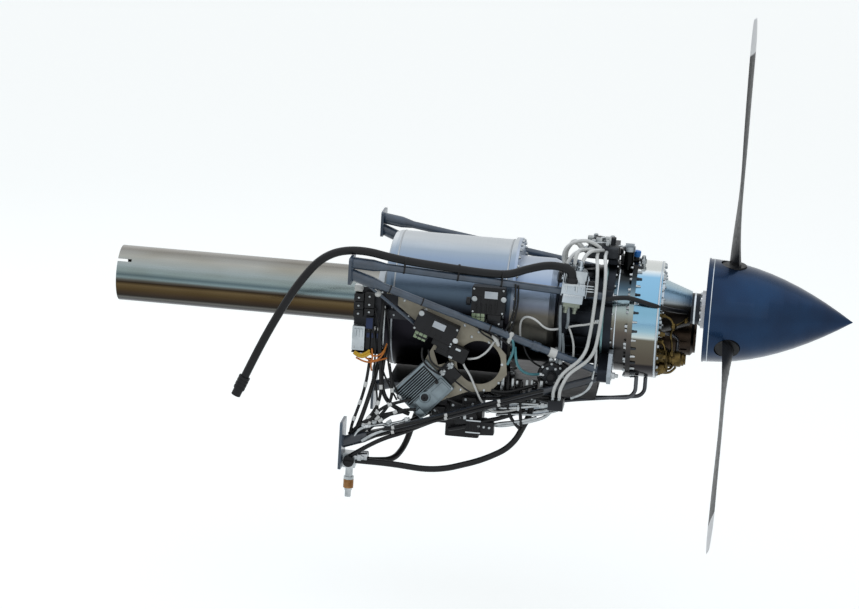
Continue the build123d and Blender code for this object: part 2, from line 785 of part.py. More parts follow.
def harness_relays():
    """Relays in two columns, with three tall connectors below them."""
    column = bracket_rear + 32
    relays = [harness_box(bracket_rear + 1, core_height - 8 + 24 * i, (28, 28, 22)) for i in range(3)]
    relays += [harness_box(column, core_height + 22, (28, 26, 44)),
               harness_box(column, core_height - 1, (28, 24, 20)),
               harness_box(column + 6, core_height - 42, (23, 27, 38))]
    connectors = [harness_box(column + 9 + 15 * i, core_height - 103, (12, 22, 58)) for i in range(3)]
    return Compound(children=relays + connectors)


def harness_block():
    """Silver junction block in two halves, with a row of terminals across the upper one."""
    x = bracket_rear + 1
    lower = harness_box(x, core_height - 107, (36, 26, 33))
    upper = harness_box(x, core_height - 74, (36, 29, 40))
    face = -bracket_outer - 29
    for i in range(3):
        terminal_x = x + 6 + 9 * i
        upper += block((terminal_x, face - 4, core_height - 66), (terminal_x + 6, face, core_height - 42))
    return lower + upper


def finned_regulator():
    """Cast regulator with cooling fins over half of its face and a round fitting."""
    y = -plate_outer
    body = Pos(0, -regulator_base / 2, 0) * Box(regulator_length, regulator_base, regulator_width)
    pitch = regulator_length * 0.5 / regulator_fins
    for i in range(regulator_fins):
        x = -regulator_length / 2 + 4 + pitch * i
        body += Pos(x, -regulator_base - regulator_fin_height / 2, 0) * Box(
            3, regulator_fin_height, regulator_width - 8)
    boss = Pos(14, -regulator_base, -6) * extrude(Plane.XZ * Circle(13), regulator_fin_height - 1)
    return Pos(regulator_x, y, regulator_z) * Rot(0, -regulator_tilt, 0) * (body + boss)


tray_top = core_height - casing_flange_radius - seat_gap
tray_bottom = tray_top - sheet_gauge
tray_front = ring_rear
tray_rear = tray_front - tray_length
collector_x = tray_rear + 500


def accessory_tray():
    """Folded tray under the core, turned up against the ring, with the drain collector."""
    tray = block((tray_rear, -tray_half_width, tray_bottom), (tray_front, tray_half_width, tray_top))
    upright = block((tray_front - sheet_gauge, -60, tray_bottom),
                    (tray_front, 60, core_height - ring_radius + 13))
    collector = block((collector_x - 22, -tray_half_width - 46, tray_bottom - 30),
                      (collector_x + 22, -tray_half_width + 30, tray_bottom))
    return tray + upright + collector


fuel_control_x = tray_rear + 207
fuel_control_low = tray_bottom - 150


def fuel_control_unit():
    """Fuel metering unit hung under the tray."""
    body = block((fuel_control_x - 78, -198, fuel_control_low + 40),
                 (fuel_control_x + 78, -112, tray_bottom))
    body = fillet(body.edges().filter_by(Axis.Z), 6)
    lower = block((fuel_control_x - 30, -192, fuel_control_low),
                  (fuel_control_x + 70, -122, fuel_control_low + 41))
    lower = fillet(lower.edges().filter_by(Axis.Z), 10)
    cover = Pos(fuel_control_x - 40, -198, tray_bottom - 60) * extrude(Plane.XZ * Circle(22), 9)
    return body + lower + cover


pump_x = tray_rear + 477
pump_radius = 33.0


def fuel_pump():
    """Round pump standing on the tray, with its face towards -Y."""
    axis_z = tray_top + 20 + pump_radius
    body = Pos(pump_x, -120, axis_z) * extrude(Plane.XZ * Circle(pump_radius), 55)
    body = chamfer(body.edges().sort_by(Axis.Y)[0], 4)
    hub = Pos(pump_x, -175, axis_z) * extrude(Plane.XZ * Circle(14), 10)
    stand = block((pump_x - 24, -168, tray_top), (pump_x + 24, -124, axis_z))
    return body + hub + stand


def oil_tank():
    """Oil tank under the tray, on the +Y side."""
    tank = block((tray_rear + 300, -40, tray_bottom - 110), (tray_rear + 470, 150, tray_bottom))
    return fillet(tank.edges().filter_by(Axis.X), 22)


def flanged_unit(outline, height, side):
    """Turned accessory on the gearbox front, from its (reach, radius) outline."""
    return turned([(gearbox_front + reach, radius) for reach, radius in outline], height, side)


def starter_generator():
    """Starter generator on the gearbox front, +Y side, with a band of cooling slots."""
    side = 92.0
    height = core_height - 68
    body = flanged_unit([(0, 0), (0, 52), (6, 52), (6, 48), (14, 48), (14, 55), (92, 55),
                         (100, 46), (106, 46), (106, 0)], height, side)
    slots = 12
    slot = block((gearbox_front + 60, -3, 51), (gearbox_front + 82, 3, 57))
    for i in range(slots):
        body -= Pos(0, side, height) * Rot(360 / slots * i, 0, 0) * slot
    return body


governor_y = -64.0
governor_z = core_height - 98


def propeller_governor():
    """Governor on the gearbox front, below the nose."""
    return flanged_unit([(0, 0), (0, 34), (8, 34), (8, 30), (28, 30), (34, 24), (68, 24),
                         (74, 18), (74, 0)], governor_z, governor_y)


# Terminal box on the upper strut, and the thick cable that leaves it

def strut_frame(distance):
    """Plane on the upper strut: x along it, z away from it upwards."""
    axis = (Vector(*upper_ear_point) - Vector(*upper_strut_start)).normalized()
    side = Vector(0, 0, 1).cross(axis).normalized()
    up = axis.cross(side)
    return Plane(Vector(*upper_strut_start) + axis * distance, x_dir=axis, z_dir=up)


terminal_distance = 640.0
terminal_length = 67.0
terminal_height = 58.0


def terminal_box():
    """Cast terminal box seated on the upper strut."""
    seat = strut_radius + seat_gap
    box = Pos(0, 0, seat + terminal_height / 2) * Box(terminal_length, 46, terminal_height)
    box = fillet(box.edges().filter_by(Axis.Z), 4)
    for side in (-1, 1):
        box += Pos(0, side * (strut_radius + 3), -4) * Box(36, 5, 2 * seat + 10)
    return strut_frame(terminal_distance) * box


cable_exit = 31.0
cable_rest = strut_radius + hose_radius


def above_strut(distance, side, height):
    """Point beside the upper strut, from the distance along it, as a plain tuple."""
    return tuple(strut_frame(distance).from_local_coords((0, side, height)))


cable_start = terminal_distance - terminal_length / 2
foot_top = upper_foot_z + foot_height / 2
cable_points = [
    above_strut(cable_start, 0, strut_radius + cable_exit),
    above_strut(cable_start - 70, 0, strut_radius + cable_exit),
    above_strut(cable_start - 170, 3, cable_rest + 1.5),
    above_strut(cable_start - 325, -4, cable_rest + 0.8),
    above_strut(cable_start - 475, 3, cable_rest + 2),
    (16.0, -strut_side, foot_top + 20),
    (-80.0, -strut_side - 8, foot_top - 5),
    (-150.0, -strut_side - 16, foot_top - 95),
    (-206.0, -strut_side - 21, foot_top - 197),
    (-253.0, -strut_side - 25, foot_top - 295),
    (-290.0, -strut_side - 28, foot_top - 383),
]


def cable_connector():
    """Moulded connector on the hanging end of the cable, with grip rings."""
    along = (Vector(*cable_points[-1]) - Vector(*cable_points[-2])).normalized()
    plane = Plane(cable_points[-1], z_dir=along)
    body = extrude(plane * Circle(15.5), 42) + extrude(plane.offset(42) * Circle(14), 20)
    for i in range(4):
        body += extrude(plane.offset(11 * i) * Circle(17), 7)
    return body


# Hoses and pipes that the engine holds along their whole length

valve_low = lower_foot_z - foot_height / 2 - 36
valve_front = foot_thickness + 36
spout_x = foot_thickness + 18
spout_y = -strut_side + 6
spout_end = valve_low - 30


def shutoff_valve():
    """Shut-off valve on the lower foot, with its knob side to -Y and a spout below."""
    body = block((foot_thickness, -strut_side - 12, valve_low),
                 (valve_front, -strut_side + 24, valve_low + 44))
    return body + Pos(spout_x, spout_y, spout_end) * extrude(Circle(11), 31)


def shutoff_knob():
    """Round valve knob with a pointer rib."""
    face = -strut_side - 12 - seat_gap
    knob = Pos(spout_x, face, valve_low + 22) * extrude(Plane.XZ * Circle(16), 14)
    rib = Pos(spout_x, face - 16, valve_low + 22) * Box(26, 4, 6)
    return knob + rib


coupling_travel = 6.0


def quick_coupling():
    """Body of the quick coupling under the valve spout, with the tail for a hose."""
    centre = Pos(spout_x, spout_y, spout_end)
    head = centre * Pos(0, 0, -8) * extrude(Circle(15), 8)
    body = centre * Pos(0, 0, -36 - coupling_travel) * extrude(Circle(11), 29 + coupling_travel)
    return head + body + centre * Pos(0, 0, -56 - coupling_travel) * extrude(Circle(9), 21)


def coupling_sleeve():
    """Sprung sleeve that is pulled down to free the coupling."""
    centre = Pos(spout_x, spout_y, spout_end - 34 - seat_gap)
    return centre * (extrude(Circle(15), 26) - extrude(Circle(11 + seat_gap), 26))


def fuel_hoses():
    """Two black hoses from the valve: one to the metering unit, one to the tray front."""
    start_x = valve_front
    first_y = -strut_side + 14
    second_y = -strut_side - 3
    z = valve_low + 22
    unit_rear = fuel_control_x - 78
    inlet_z = tray_bottom - 84
    short = [(start_x, first_y, z), (start_x + 50, first_y, z),
             (start_x + 104, first_y + 44, z - 6), (unit_rear - 66, -196, z + 22),
             (unit_rear - 38, -168, inlet_z), (unit_rear, -168, inlet_z)]
    long = [(start_x, second_y, z), (start_x + 100, second_y, z),
            (start_x + 235, second_y + 20, z - 16), (start_x + 365, -246, z + 14),
            (start_x + 446, -206, z + 52), (start_x + 492, -178, tray_bottom - 62),
            (start_x + 492, -178, tray_bottom)]
    return Compound(children=[bent_rod(short, fuel_hose_radius), bent_rod(long, fuel_hose_radius)])


def oil_pipes():
    """Two pipes from the metering unit to the gearbox bottom, and the governor's riser."""
    start = fuel_control_x + 78
    pipes = []
    for step in range(2):
        y = -138 - 22 * step
        end_y = -70 + 30 * step
        surface = math.sqrt(gearbox_radius ** 2 - (abs(end_y) - pipe_radius) ** 2)
        z = tray_bottom - 24
        end_x = inlet_front + 20 + 26 * step
        points = [(start, y, z), (start + 90, y, z), (start + 200, y + 6, z - 4),
                  (ring_rear - 60, y + 40, z), (end_x, end_y, z + 8),
                  (end_x, end_y, core_height - surface - seat_gap)]
        pipes.append(bent_rod(points, pipe_radius))
    top = governor_z + 24 + seat_gap
    x = gearbox_front + 56
    riser = [(x, governor_y, top), (x, governor_y, top + 26),
             (x - 6, governor_y - 26, top + 52), (x - 48, governor_y - 34, top + 58),
             (gearbox_front + seat_gap, governor_y - 34, top + 58)]
    pipes.append(bent_rod(riser, pipe_radius - 1))
    return Compound(children=pipes)


manifold_rear = ring_rear - 62
manifold_low = core_height + ring_radius + 10


def top_manifold():
    """Cast air manifold on the top pad of the ring."""
    body = block((manifold_rear, -56, manifold_low), (ring_front, 56, manifold_low + 40))
    body = fillet(body.edges().filter_by(Axis.X), 8)
    body += Pos(manifold_rear + 30, 20, manifold_low + 40) * extrude(Circle(16), 12)
    return body + Pos(ring_front - 22, 0, manifold_low + 40) * extrude(Circle(11), 18)


def white_hoses():
    """Two white tubes down past the struts to the collector, and two arched hoses."""
    hoses = []
    end_y = -tray_half_width - 33
    for step in (-1, 1):
        x = manifold_rear + 44 + 12 * step
        end_x = collector_x + 9 * step
        points = [(x, -56, manifold_low + 24), (x, -130, manifold_low + 24),
                  (x + 10, -212, manifold_low + 6), (x + 12, -240, manifold_low - 60),
                  (x + 6, -238, manifold_low - 160), (x - 6, -236, manifold_low - 250),
                  (end_x + 20, end_y - 2, tray_bottom + 80), (end_x, end_y, tray_bottom + 30),
                  (end_x, end_y, tray_bottom)]
        hoses.append(bent_rod(points, white_tube_radius))
    end_x = combustor_front + 6.5
    radius = 5.0
    z = manifold_low + 22
    for y in (-44, -16):
        surface = math.sqrt(cover_radius ** 2 - (abs(y) - radius) ** 2)
        points = [(manifold_rear, y, z), (manifold_rear - 15, y, z),
                  (manifold_rear - 32, y, z + 19), (end_x + 17, y, z + 20),
                  (end_x, y, z - 8), (end_x, y, core_height + surface + seat_gap)]
        hoses.append(bent_rod(points, radius))
    return Compound(children=hoses)


def mirrored(shape):
    return mirror(shape, Plane.XZ)


def main():
    os.makedirs("parts", exist_ok=True)
    write(exhaust_duct(), "exhaust_duct")
    write(recuperator_casing(), "recuperator_casing")
    write(recuperator_core(), "recuperator_core")
    write(combustor_casing(), "combustor_casing")
    write(combustor_liner(), "combustor_liner")
    write(centre_housing(), "centre_housing")
    write(compressor_cover(), "compressor_cover")
    write(mount_ring(), "mount_ring")
    write(inlet_case(), "inlet_case")
    write(gearbox_case(), "gearbox_case")
    write(nose_housing(), "nose_housing")
    write(filler_cap(), "oil_filler_cap")
    write(rotor_shaft(), "rotor_shaft")
    write(turbine_wheel(), "turbine_wheel")
    write(compressor_impeller(), "compressor_impeller")
    write(shaft_bearings(), "shaft_bearings")
    write(layshaft(), "layshaft")
    write(layshaft_gear(), "layshaft_gear")
    write(output_gear(), "output_gear")
    write(propeller_shaft(), "propeller_shaft")
    write(propeller_hub(), "propeller_hub")
    write(pitch_piston(), "pitch_piston")
    write(spinner_backplate(), "spinner_backplate")
    write(spinner_dome(), "spinner_dome")
    blade = propeller_blade()
    for i in range(blade_count):
        write(around_propeller(blade, i), f"propeller_blade_{i + 1}")
    upper_foot = foot(foot_height, upper_foot_z)
    lower_foot = foot(foot_height + 64, lower_foot_z)
    feet = [upper_foot, mirrored(upper_foot), lower_foot, mirrored(lower_foot)]
    write(Compound(children=feet), "firewall_feet")
    members = {
        "upper_strut": strut(upper_strut_start, upper_ear_point),
        "diagonal_strut": strut(diagonal_start, diagonal_end, 560),
        "lower_strut": strut(lower_strut_start, lower_strut_end),
    }
    for name, member in members.items():
        write(member, name + "_right")
        write(mirrored(member), name + "_left")
    bracket = front_bracket()
    write(Compound(children=[bracket, mirrored(bracket)]), "front_brackets")
    write(equipment_rail(), "equipment_rail")
    write(gusset_plate(), "gusset_plate")
    write(control_unit_upper(), "control_unit_upper")
    write(control_unit_lower(), "control_unit_lower")
    write(harness_bracket(), "harness_bracket")
    write(harness_relays(), "harness_relays")
    write(harness_block(), "harness_block")
    write(finned_regulator(), "finned_regulator")
    write(accessory_tray(), "accessory_tray")
    write(fuel_control_unit(), "fuel_control_unit")
    write(fuel_pump(), "fuel_pump")
    write(oil_tank(), "oil_tank")
    write(starter_generator(), "starter_generator")
    write(propeller_governor(), "propeller_governor")
    write(terminal_box(), "terminal_box")
    write(bent_rod(cable_points, hose_radius), "power_cable")
    write(cable_connector(), "cable_connector")
    write(shutoff_valve(), "shutoff_valve")
    write(shutoff_knob(), "shutoff_knob")
    write(quick_coupling(), "quick_coupling")
    write(coupling_sleeve(), "coupling_sleeve")
    write(fuel_hoses(), "fuel_hoses")
    write(oil_pipes(), "oil_pipes")
    write(top_manifold(), "top_manifold")
    write(white_hoses(), "white_hoses")
    radii = [round(r) for r in corner_radii(cable_points)]
    print("Cable bend radii, mm:", radii)


main()
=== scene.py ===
# %% [markdown]
# # A small turboprop engine
# The engine hangs on a welded strut mount. Behind it runs a long polished exhaust duct,
# and in front of it turns a propeller with a pointed dark spinner.
# The solid parts come from the CAD frame. This lesson dresses them: it gives each one the
# finish of its real material, and adds the bolts, hoses, wiring and small fittings.

# %% Load the frame
import math
import bmesh
import bpy
from mathutils import Matrix, Vector


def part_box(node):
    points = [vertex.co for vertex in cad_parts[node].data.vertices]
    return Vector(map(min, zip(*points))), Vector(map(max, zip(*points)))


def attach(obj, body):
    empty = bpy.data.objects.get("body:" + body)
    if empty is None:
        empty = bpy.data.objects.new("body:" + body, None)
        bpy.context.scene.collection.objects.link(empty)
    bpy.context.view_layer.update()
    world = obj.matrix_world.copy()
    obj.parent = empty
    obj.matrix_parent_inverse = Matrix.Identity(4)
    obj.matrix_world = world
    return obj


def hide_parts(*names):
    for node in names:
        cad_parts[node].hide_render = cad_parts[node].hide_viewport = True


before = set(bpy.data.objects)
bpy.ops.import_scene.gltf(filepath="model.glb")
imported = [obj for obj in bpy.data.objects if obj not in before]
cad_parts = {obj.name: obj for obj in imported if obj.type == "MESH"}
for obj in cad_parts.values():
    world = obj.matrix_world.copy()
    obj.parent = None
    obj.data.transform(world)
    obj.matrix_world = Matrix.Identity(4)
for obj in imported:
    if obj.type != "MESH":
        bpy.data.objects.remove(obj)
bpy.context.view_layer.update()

# %% [markdown]
# ## Camera
# The photograph was taken from the engine's right side, a little ahead of it and from
# above, with a long lens. The three angles below were found by matching round parts, such
# as the ring and the duct, whose ellipses give the viewing angle.

# %% Camera
# The focal length was found in pixels of the photograph, which is 859 pixels wide.
SENSOR_MM, FOCAL_PIXELS, PICTURE_WIDTH = 36, 3000, 859
CAMERA_PLACE = (1.149, -8.644, 2.233)
turn, down, roll = (math.radians(a) for a in (6.28, 13.82, 3.55))
ahead = Vector((-math.sin(turn) * math.cos(down), math.cos(turn) * math.cos(down),
                -math.sin(down)))
level = Vector((math.cos(turn), math.sin(turn), 0))
upright = level.cross(ahead)
right = level * math.cos(roll) + upright * math.sin(roll)
up = upright * math.cos(roll) - level * math.sin(roll)
camera = bpy.data.objects.new("camera", bpy.data.cameras.new("camera"))
bpy.context.scene.collection.objects.link(camera)
camera.matrix_world = Matrix.Translation(CAMERA_PLACE) @ Matrix(
    (right, up, -ahead)).transposed().to_4x4()
camera.data.sensor_width = SENSOR_MM
camera.data.lens = SENSOR_MM * FOCAL_PIXELS / PICTURE_WIDTH
camera.data.clip_end = 60
bpy.context.scene.camera = camera
print("Lens in mm:", round(camera.data.lens, 1))

# %% [markdown]
# ## The thick power cable
# One heavy cable leaves an elbow on the terminal box, lies along the upper strut and
# hangs down behind the foot. It could be a mesh tube, but a NURBS curve with a round bevel
# keeps its line smooth, and its length can be measured. The control points follow the CAD
# tube, apart from a low hump next to the elbow.

# %% Power cable
CABLE_ROUTE = [
    (606.0, -226.0, 293.5), (572.0, -226.0, 301.0), (500.0, -222.0, 280.0),
    (450.0, -224.0, 258.5), (390.0, -237.0, 259.5), (285.6, -265.4, 272.6),
    (138.0, -288.4, 288.2), (16.0, -318.0, 319.0), (-80.0, -326.0, 294.0),
    (-150.0, -334.0, 204.0), (-206.0, -339.0, 102.0), (-253.0, -343.0, 4.0),
    (-290.0, -346.0, -84.0)]
CABLE_RADIUS = 12.0


def nurbs_line(name, routes, radius, bevel_steps):
    """A curve object with one smooth spline for each route, in mm, and a round section."""
    curve = bpy.data.curves.new(name, "CURVE")
    curve.dimensions = "3D"
    curve.bevel_depth = radius / 1000
    curve.bevel_resolution = bevel_steps
    curve.use_fill_caps = True
    curve.resolution_u = 8
    for route in routes:
        spline = curve.splines.new("NURBS")
        spline.points.add(len(route) - 1)
        for point, (x, y, z) in zip(spline.points, route):
            point.co = (x / 1000, y / 1000, z / 1000, 1)
        spline.order_u = 3
        spline.use_endpoint_u = True
    line = bpy.data.objects.new(name, curve)
    bpy.context.scene.collection.objects.link(line)
    return line


cable = nurbs_line("thick_power_cable", [CABLE_ROUTE], CABLE_RADIUS, 6)
cable.data.resolution_u = 16
print("Cable points:", len(CABLE_ROUTE))

# %% [markdown]
# ## Colours and nodes
# Colours are written as the hex values a paint program shows, which are sRGB. Blender
# wants linear light, so one function turns them. One more function adds a node with its
# settings and links, which keeps each material short enough to read.

# %% Colour and node helpers
FINISH = {}


def linear(hex_colour):
    """Linear RGBA from an sRGB hex value such as #8FA0B0."""
    parts = [int(hex_colour[i:i + 2], 16) / 255 for i in (1, 3, 5)]
    return (*(c / 12.92 if c <= 0.04045 else ((c + 0.055) / 1.055) ** 2.4 for c in parts), 1.0)


def add(tree, kind, inputs=None, stops=(), **settings):
    """Adds one node. Its inputs are values, or sockets to link from, and the stops of a
    colour ramp are pairs of a place and a hex colour."""
    node = tree.nodes.new(kind)
    for name, value in settings.items():
        setattr(node, name, value)
    for name, value in (inputs or {}).items():
        socket = node.inputs[name]
        if isinstance(value, bpy.types.NodeSocket):
            tree.links.new(value, socket)
        else:
            socket.default_value = value
    if stops:
        marks = node.color_ramp.elements
        while len(marks) < len(stops):
            marks.new(0.5)
        for mark, (place, colour) in zip(marks, stops):
            mark.position = place
            mark.color = linear(colour)
    return node


print("Mid grey in linear light:", round(linear("#808080")[0], 3))

# %% [markdown]
# ## What every finish shares
# A finish has a colour, a gloss that varies a little, and a relief with a real depth. The
# patterns are noise in the object's own coordinates, with a size in mm, so they stay on
# the piece when it moves. These helpers start a finish, make its patterns and close it.

# %% Start, pattern and end of a finish


def start_finish(name):
    """A named material with an empty node tree, ready for the patterns."""
    FINISH[name] = bpy.data.materials.new(name)
    FINISH[name].use_nodes = True
    FINISH[name].node_tree.nodes.clear()
    return FINISH[name].node_tree


def patches(tree, size_mm, stretch=(1, 1, 1), detail=3.0, rough=0.55):
    """Patches about size_mm across. A stretch below 1 draws them out along that axis."""
    place = add(tree, "ShaderNodeTexCoord").outputs["Object"]
    drawn = add(tree, "ShaderNodeMapping", {"Vector": place, "Scale": stretch}).outputs[0]
    return add(tree, "ShaderNodeTexNoise", {
        "Vector": drawn, "Scale": 1000 / size_mm, "Detail": detail,
        "Roughness": rough}).outputs["Fac"]


def blotches(tree, size_mm, colours, margin=0.3, detail=2.0):
    """Two close colours that drift into one another."""
    return add(tree, "ShaderNodeValToRGB", {"Fac": patches(tree, size_mm, detail=detail)},
               stops=[(margin, colours[0]), (1 - margin, colours[1])]).outputs["Color"]


def close_finish(tree, colour, gloss, rough, relief, depth_mm, dents=None, **sockets):
    """Adds the shader: roughness follows the gloss pattern between two values, and the
    relief pattern has its real depth. The names of other sockets have _ for a space."""
    uneven = add(tree, "ShaderNodeMapRange", {
        "Value": gloss, "From Min": 0.3, "From Max": 0.7, "To Min": rough[0],
        "To Max": rough[1]})
    depth = {"Height": relief, "Distance": depth_mm / 1000}
    bumps = add(tree, "ShaderNodeBump", {**depth, "Normal": dents} if dents else depth)
    shader = add(tree, "ShaderNodeBsdfPrincipled", {
        "Base Color": colour, "Roughness": uneven.outputs[0], "Normal": bumps.outputs[0],
        **{name.replace("_", " "): value for name, value in sockets.items()}})
    add(tree, "ShaderNodeOutputMaterial", {"Surface": shader.outputs[0]})


print("Noise scale for patches 120 mm across:", round(1000 / 120, 2))

# %% [markdown]
# ## Turned and rolled casings
# The drum, the rings and the nose are round and metal, so metallic is 1 and the colour is
# the colour of the reflection. Their colours are painted light: stops on a ramp that runs
# from the underside to the crown, with a pale painted reflection on top and painted shade
# and a dark painted reflection below. A painted picture would need an unwrapped mesh.

# %% Round casings
CORE_Z = 110.0
PROPELLER_Z = 152.0


def off_axis(tree, axis_mm, measure):
    """Direction (NORMALIZE) or distance in metres (LENGTH) from an axis along X."""
    place = add(tree, "ShaderNodeTexCoord").outputs["Object"]
    offset = add(tree, "ShaderNodeVectorMath", {0: place, 1: (0, 0, axis_mm / 1000)},
                 operation="SUBTRACT").outputs[0]
    across = add(tree, "ShaderNodeVectorMath", {0: offset, 1: (0, 1, 1)},
                 operation="MULTIPLY").outputs[0]
    return add(tree, "ShaderNodeVectorMath", {0: across}, operation=measure).outputs


def crown_share(tree, axis_mm, drift, wobble):
    """Place round a turned part, from 0 at its underside to 1 at its crown, with a wobble."""
    outward = off_axis(tree, axis_mm, "NORMALIZE")["Vector"]
    height = add(tree, "ShaderNodeSeparateXYZ", {"Vector": outward}).outputs["Z"]
    share = add(tree, "ShaderNodeMapRange", {
        "Value": height, "From Min": -1.0, "From Max": 1.0, "To Min": 0.0, "To Max": 1.0})
    return add(tree, "ShaderNodeMath", {0: drift, 1: wobble, 2: share.outputs[0]},
               operation="MULTIPLY_ADD").outputs[0]


def round_casing(name, axis_mm, stops, rough, marks_mm, wobble=0.03, depth_mm=0.02):
    """Turned or rolled metal, coloured by a ramp from its crown down to its underside: painted
    reflection and painted shade.
    """
    tree = start_finish(name)
    share = crown_share(tree, axis_mm, patches(tree, 70, (0.3, 1, 1)), wobble)
    colour = add(tree, "ShaderNodeValToRGB", {"Fac": share}, stops=stops).outputs["Color"]
    marks = patches(tree, marks_mm, (1, 0.03, 0.03), detail=5.0, rough=0.6)
    close_finish(tree, colour, marks, rough, marks, depth_mm, Metallic=1.0)


# The drum is pale on top and darkened on its lower half: painted reflection and painted shade.
round_casing("drum_sheet_painted_reflection", CORE_Z, [
    (0.0, "#17151A"), (0.54, "#201F24"), (0.63, "#36414D"), (0.72, "#586A7C"),
    (0.81, "#6B7785"), (0.90, "#7F8FA3"), (0.95, "#8E9AA6"), (1.0, "#BCC2C7")],
    (0.28, 0.42), 3.0)
# The pressed casing ahead of it has a pale painted reflection on top, and is browner below:
# painted reflection of the ground and painted shade.
round_casing("pressed_casing_painted_reflection", CORE_Z, [
    (0.0, "#15161A"), (0.28, "#383937"), (0.42, "#4A4843"), (0.57, "#625F58"),
    (0.65, "#656D7B"), (0.72, "#7F8C9C"), (0.84, "#7A8CA6"), (0.93, "#99A5B5"),
    (1.0, "#A9B3C1")], (0.28, 0.42), 3.0)
# Mirror-polished ring round the gears: a painted reflection, blue with bright painted highlights,
# brown on its lower part and dark at the underside.
round_casing("polished_ring_painted_reflection", CORE_Z, [
    (0.0, "#1D191C"), (0.185, "#1D191C"), (0.205, "#524B42"), (0.435, "#635E53"),
    (0.455, "#BFC8C5"), (0.51, "#93B4C2"), (0.57, "#7DA6C0"), (0.66, "#729EB6"),
    (0.93, "#7DA7C2"), (0.97, "#D3D7D5")], (0.10, 0.20), 1.6, 0.01, 0.01)
# Brushed band at the intake: a painted highlight across its middle, and painted shade at its crown
# and its underside.
round_casing("intake_band_painted_light", CORE_Z, [
    (0.0, "#151416"), (0.30, "#383737"), (0.48, "#57504A"), (0.58, "#747268"),
    (0.68, "#8D9B9B"), (0.77, "#7D9199"), (0.86, "#3F525F"), (0.93, "#2A2E30"),
    (1.0, "#141414")], (0.14, 0.26), 1.6, 0.03, 0.01)
# Cast nose: a bright painted reflection on top, and painted shade, brown-black, below.
round_casing("nose_casting_painted_reflection", PROPELLER_Z, [
    (0.0, "#120F0D"), (0.56, "#1F1B18"), (0.66, "#3A3C3B"), (0.71, "#879095"),
    (0.79, "#768A9A"), (0.92, "#6B8AA0"), (1.0, "#A9BCC5")], (0.24, 0.40), 1.5, 0.04, 0.05)
print("Round casings:", len(FINISH))

# %% [markdown]
# ## Sheet and polished metal
# What tells plain metals apart is roughness: a polished ring is near 0.15 and a satin
# sheet near 0.35. Fine marks run the way the metal was rolled or turned, so the noise is
# squeezed along that direction.

# %% Metal finishes


def sheet_metal(name, colours, rough, marks_mm, stretch, depth_mm=0.02, blotch_mm=120):
    """Metal with a slow change of colour, and marks that run one way."""
    tree = start_finish(name)
    marks = patches(tree, marks_mm, stretch, detail=5.0, rough=0.6)
    close_finish(tree, blotches(tree, blotch_mm, colours), marks, rough, marks, depth_mm,
                 Metallic=1.0)


# Dark anodised plate, smoked sheet and dark pipe.
sheet_metal("dark_anodised_plate", ("#1C1E22", "#2C3036"), (0.26, 0.40), 2.0, (1, 1, 0.1))
sheet_metal("smoked_sheet", ("#26272A", "#3A3B3E"), (0.34, 0.50), 3.0, (0.1, 1, 1))
sheet_metal("dark_steel_pipe", ("#3A3C40", "#5C5E62"), (0.22, 0.36), 2.5, (1, 1, 1))
# Rolled stainless sheet: marks 3 mm wide run round the drum.
sheet_metal("satin_stainless_sheet", ("#8E9499", "#A9AEB2"), (0.30, 0.44), 3.0,
            (1, 0.05, 0.05))
# Turned and polished aluminium: the marks are very fine rings.
sheet_metal("polished_aluminium_ring", ("#A4ADB5", "#C2C9CE"), (0.14, 0.24), 1.6,
            (1, 0.02, 0.02), 0.01)
# Machined plate: milled strokes 2 mm apart.
sheet_metal("milled_aluminium", ("#828B92", "#A3AAAF"), (0.28, 0.42), 2.0, (1, 1, 0.1))
# Ground shaft steel, and scaled hot alloy inside the engine.
sheet_metal("ground_steel", ("#84868A", "#A6A8AB"), (0.22, 0.36), 1.2, (0.1, 1, 1))
sheet_metal("scaled_hot_alloy", ("#5E5650", "#857B70"), (0.45, 0.65), 6.0, (1, 1, 1), 0.05)
# Zinc plated bolts, fittings with a gold passivated coat, and a worn bronze sleeve.
sheet_metal("zinc_plated_steel", ("#8F9598", "#B9BDBF"), (0.22, 0.38), 2.5, (1, 1, 1),
            0.02, 25)
sheet_metal("gold_passivated_steel", ("#2C2618", "#6E5D38"), (0.25, 0.42), 2.5, (1, 1, 1),
            0.02, 18)
sheet_metal("worn_bronze", ("#6E4C2E", "#9A7650"), (0.30, 0.45), 2.0, (1, 1, 0.2), 0.02, 15)
print("Metals:", len(FINISH))

# %% [markdown]
# ## Polished exhaust duct
# The duct is bright stainless tube. Its colour is a ramp on the height across the tube, moved
# a little by noise: a painted reflection, pale on top and golden brown with thin bright lines
# from the middle down, and painted shade on the underside. Soft stains lie over it, and handling
# has left fine scratches along it and a few shallow dents. Soot blackens the bore, which is told
# from the outside by its smaller radius.

# %% Exhaust duct finish
# In metres: the soot fades out between these two radii, which lie inside the wall.
BORE_RADIUS, OUTSIDE_RADIUS = 0.0820, 0.0826


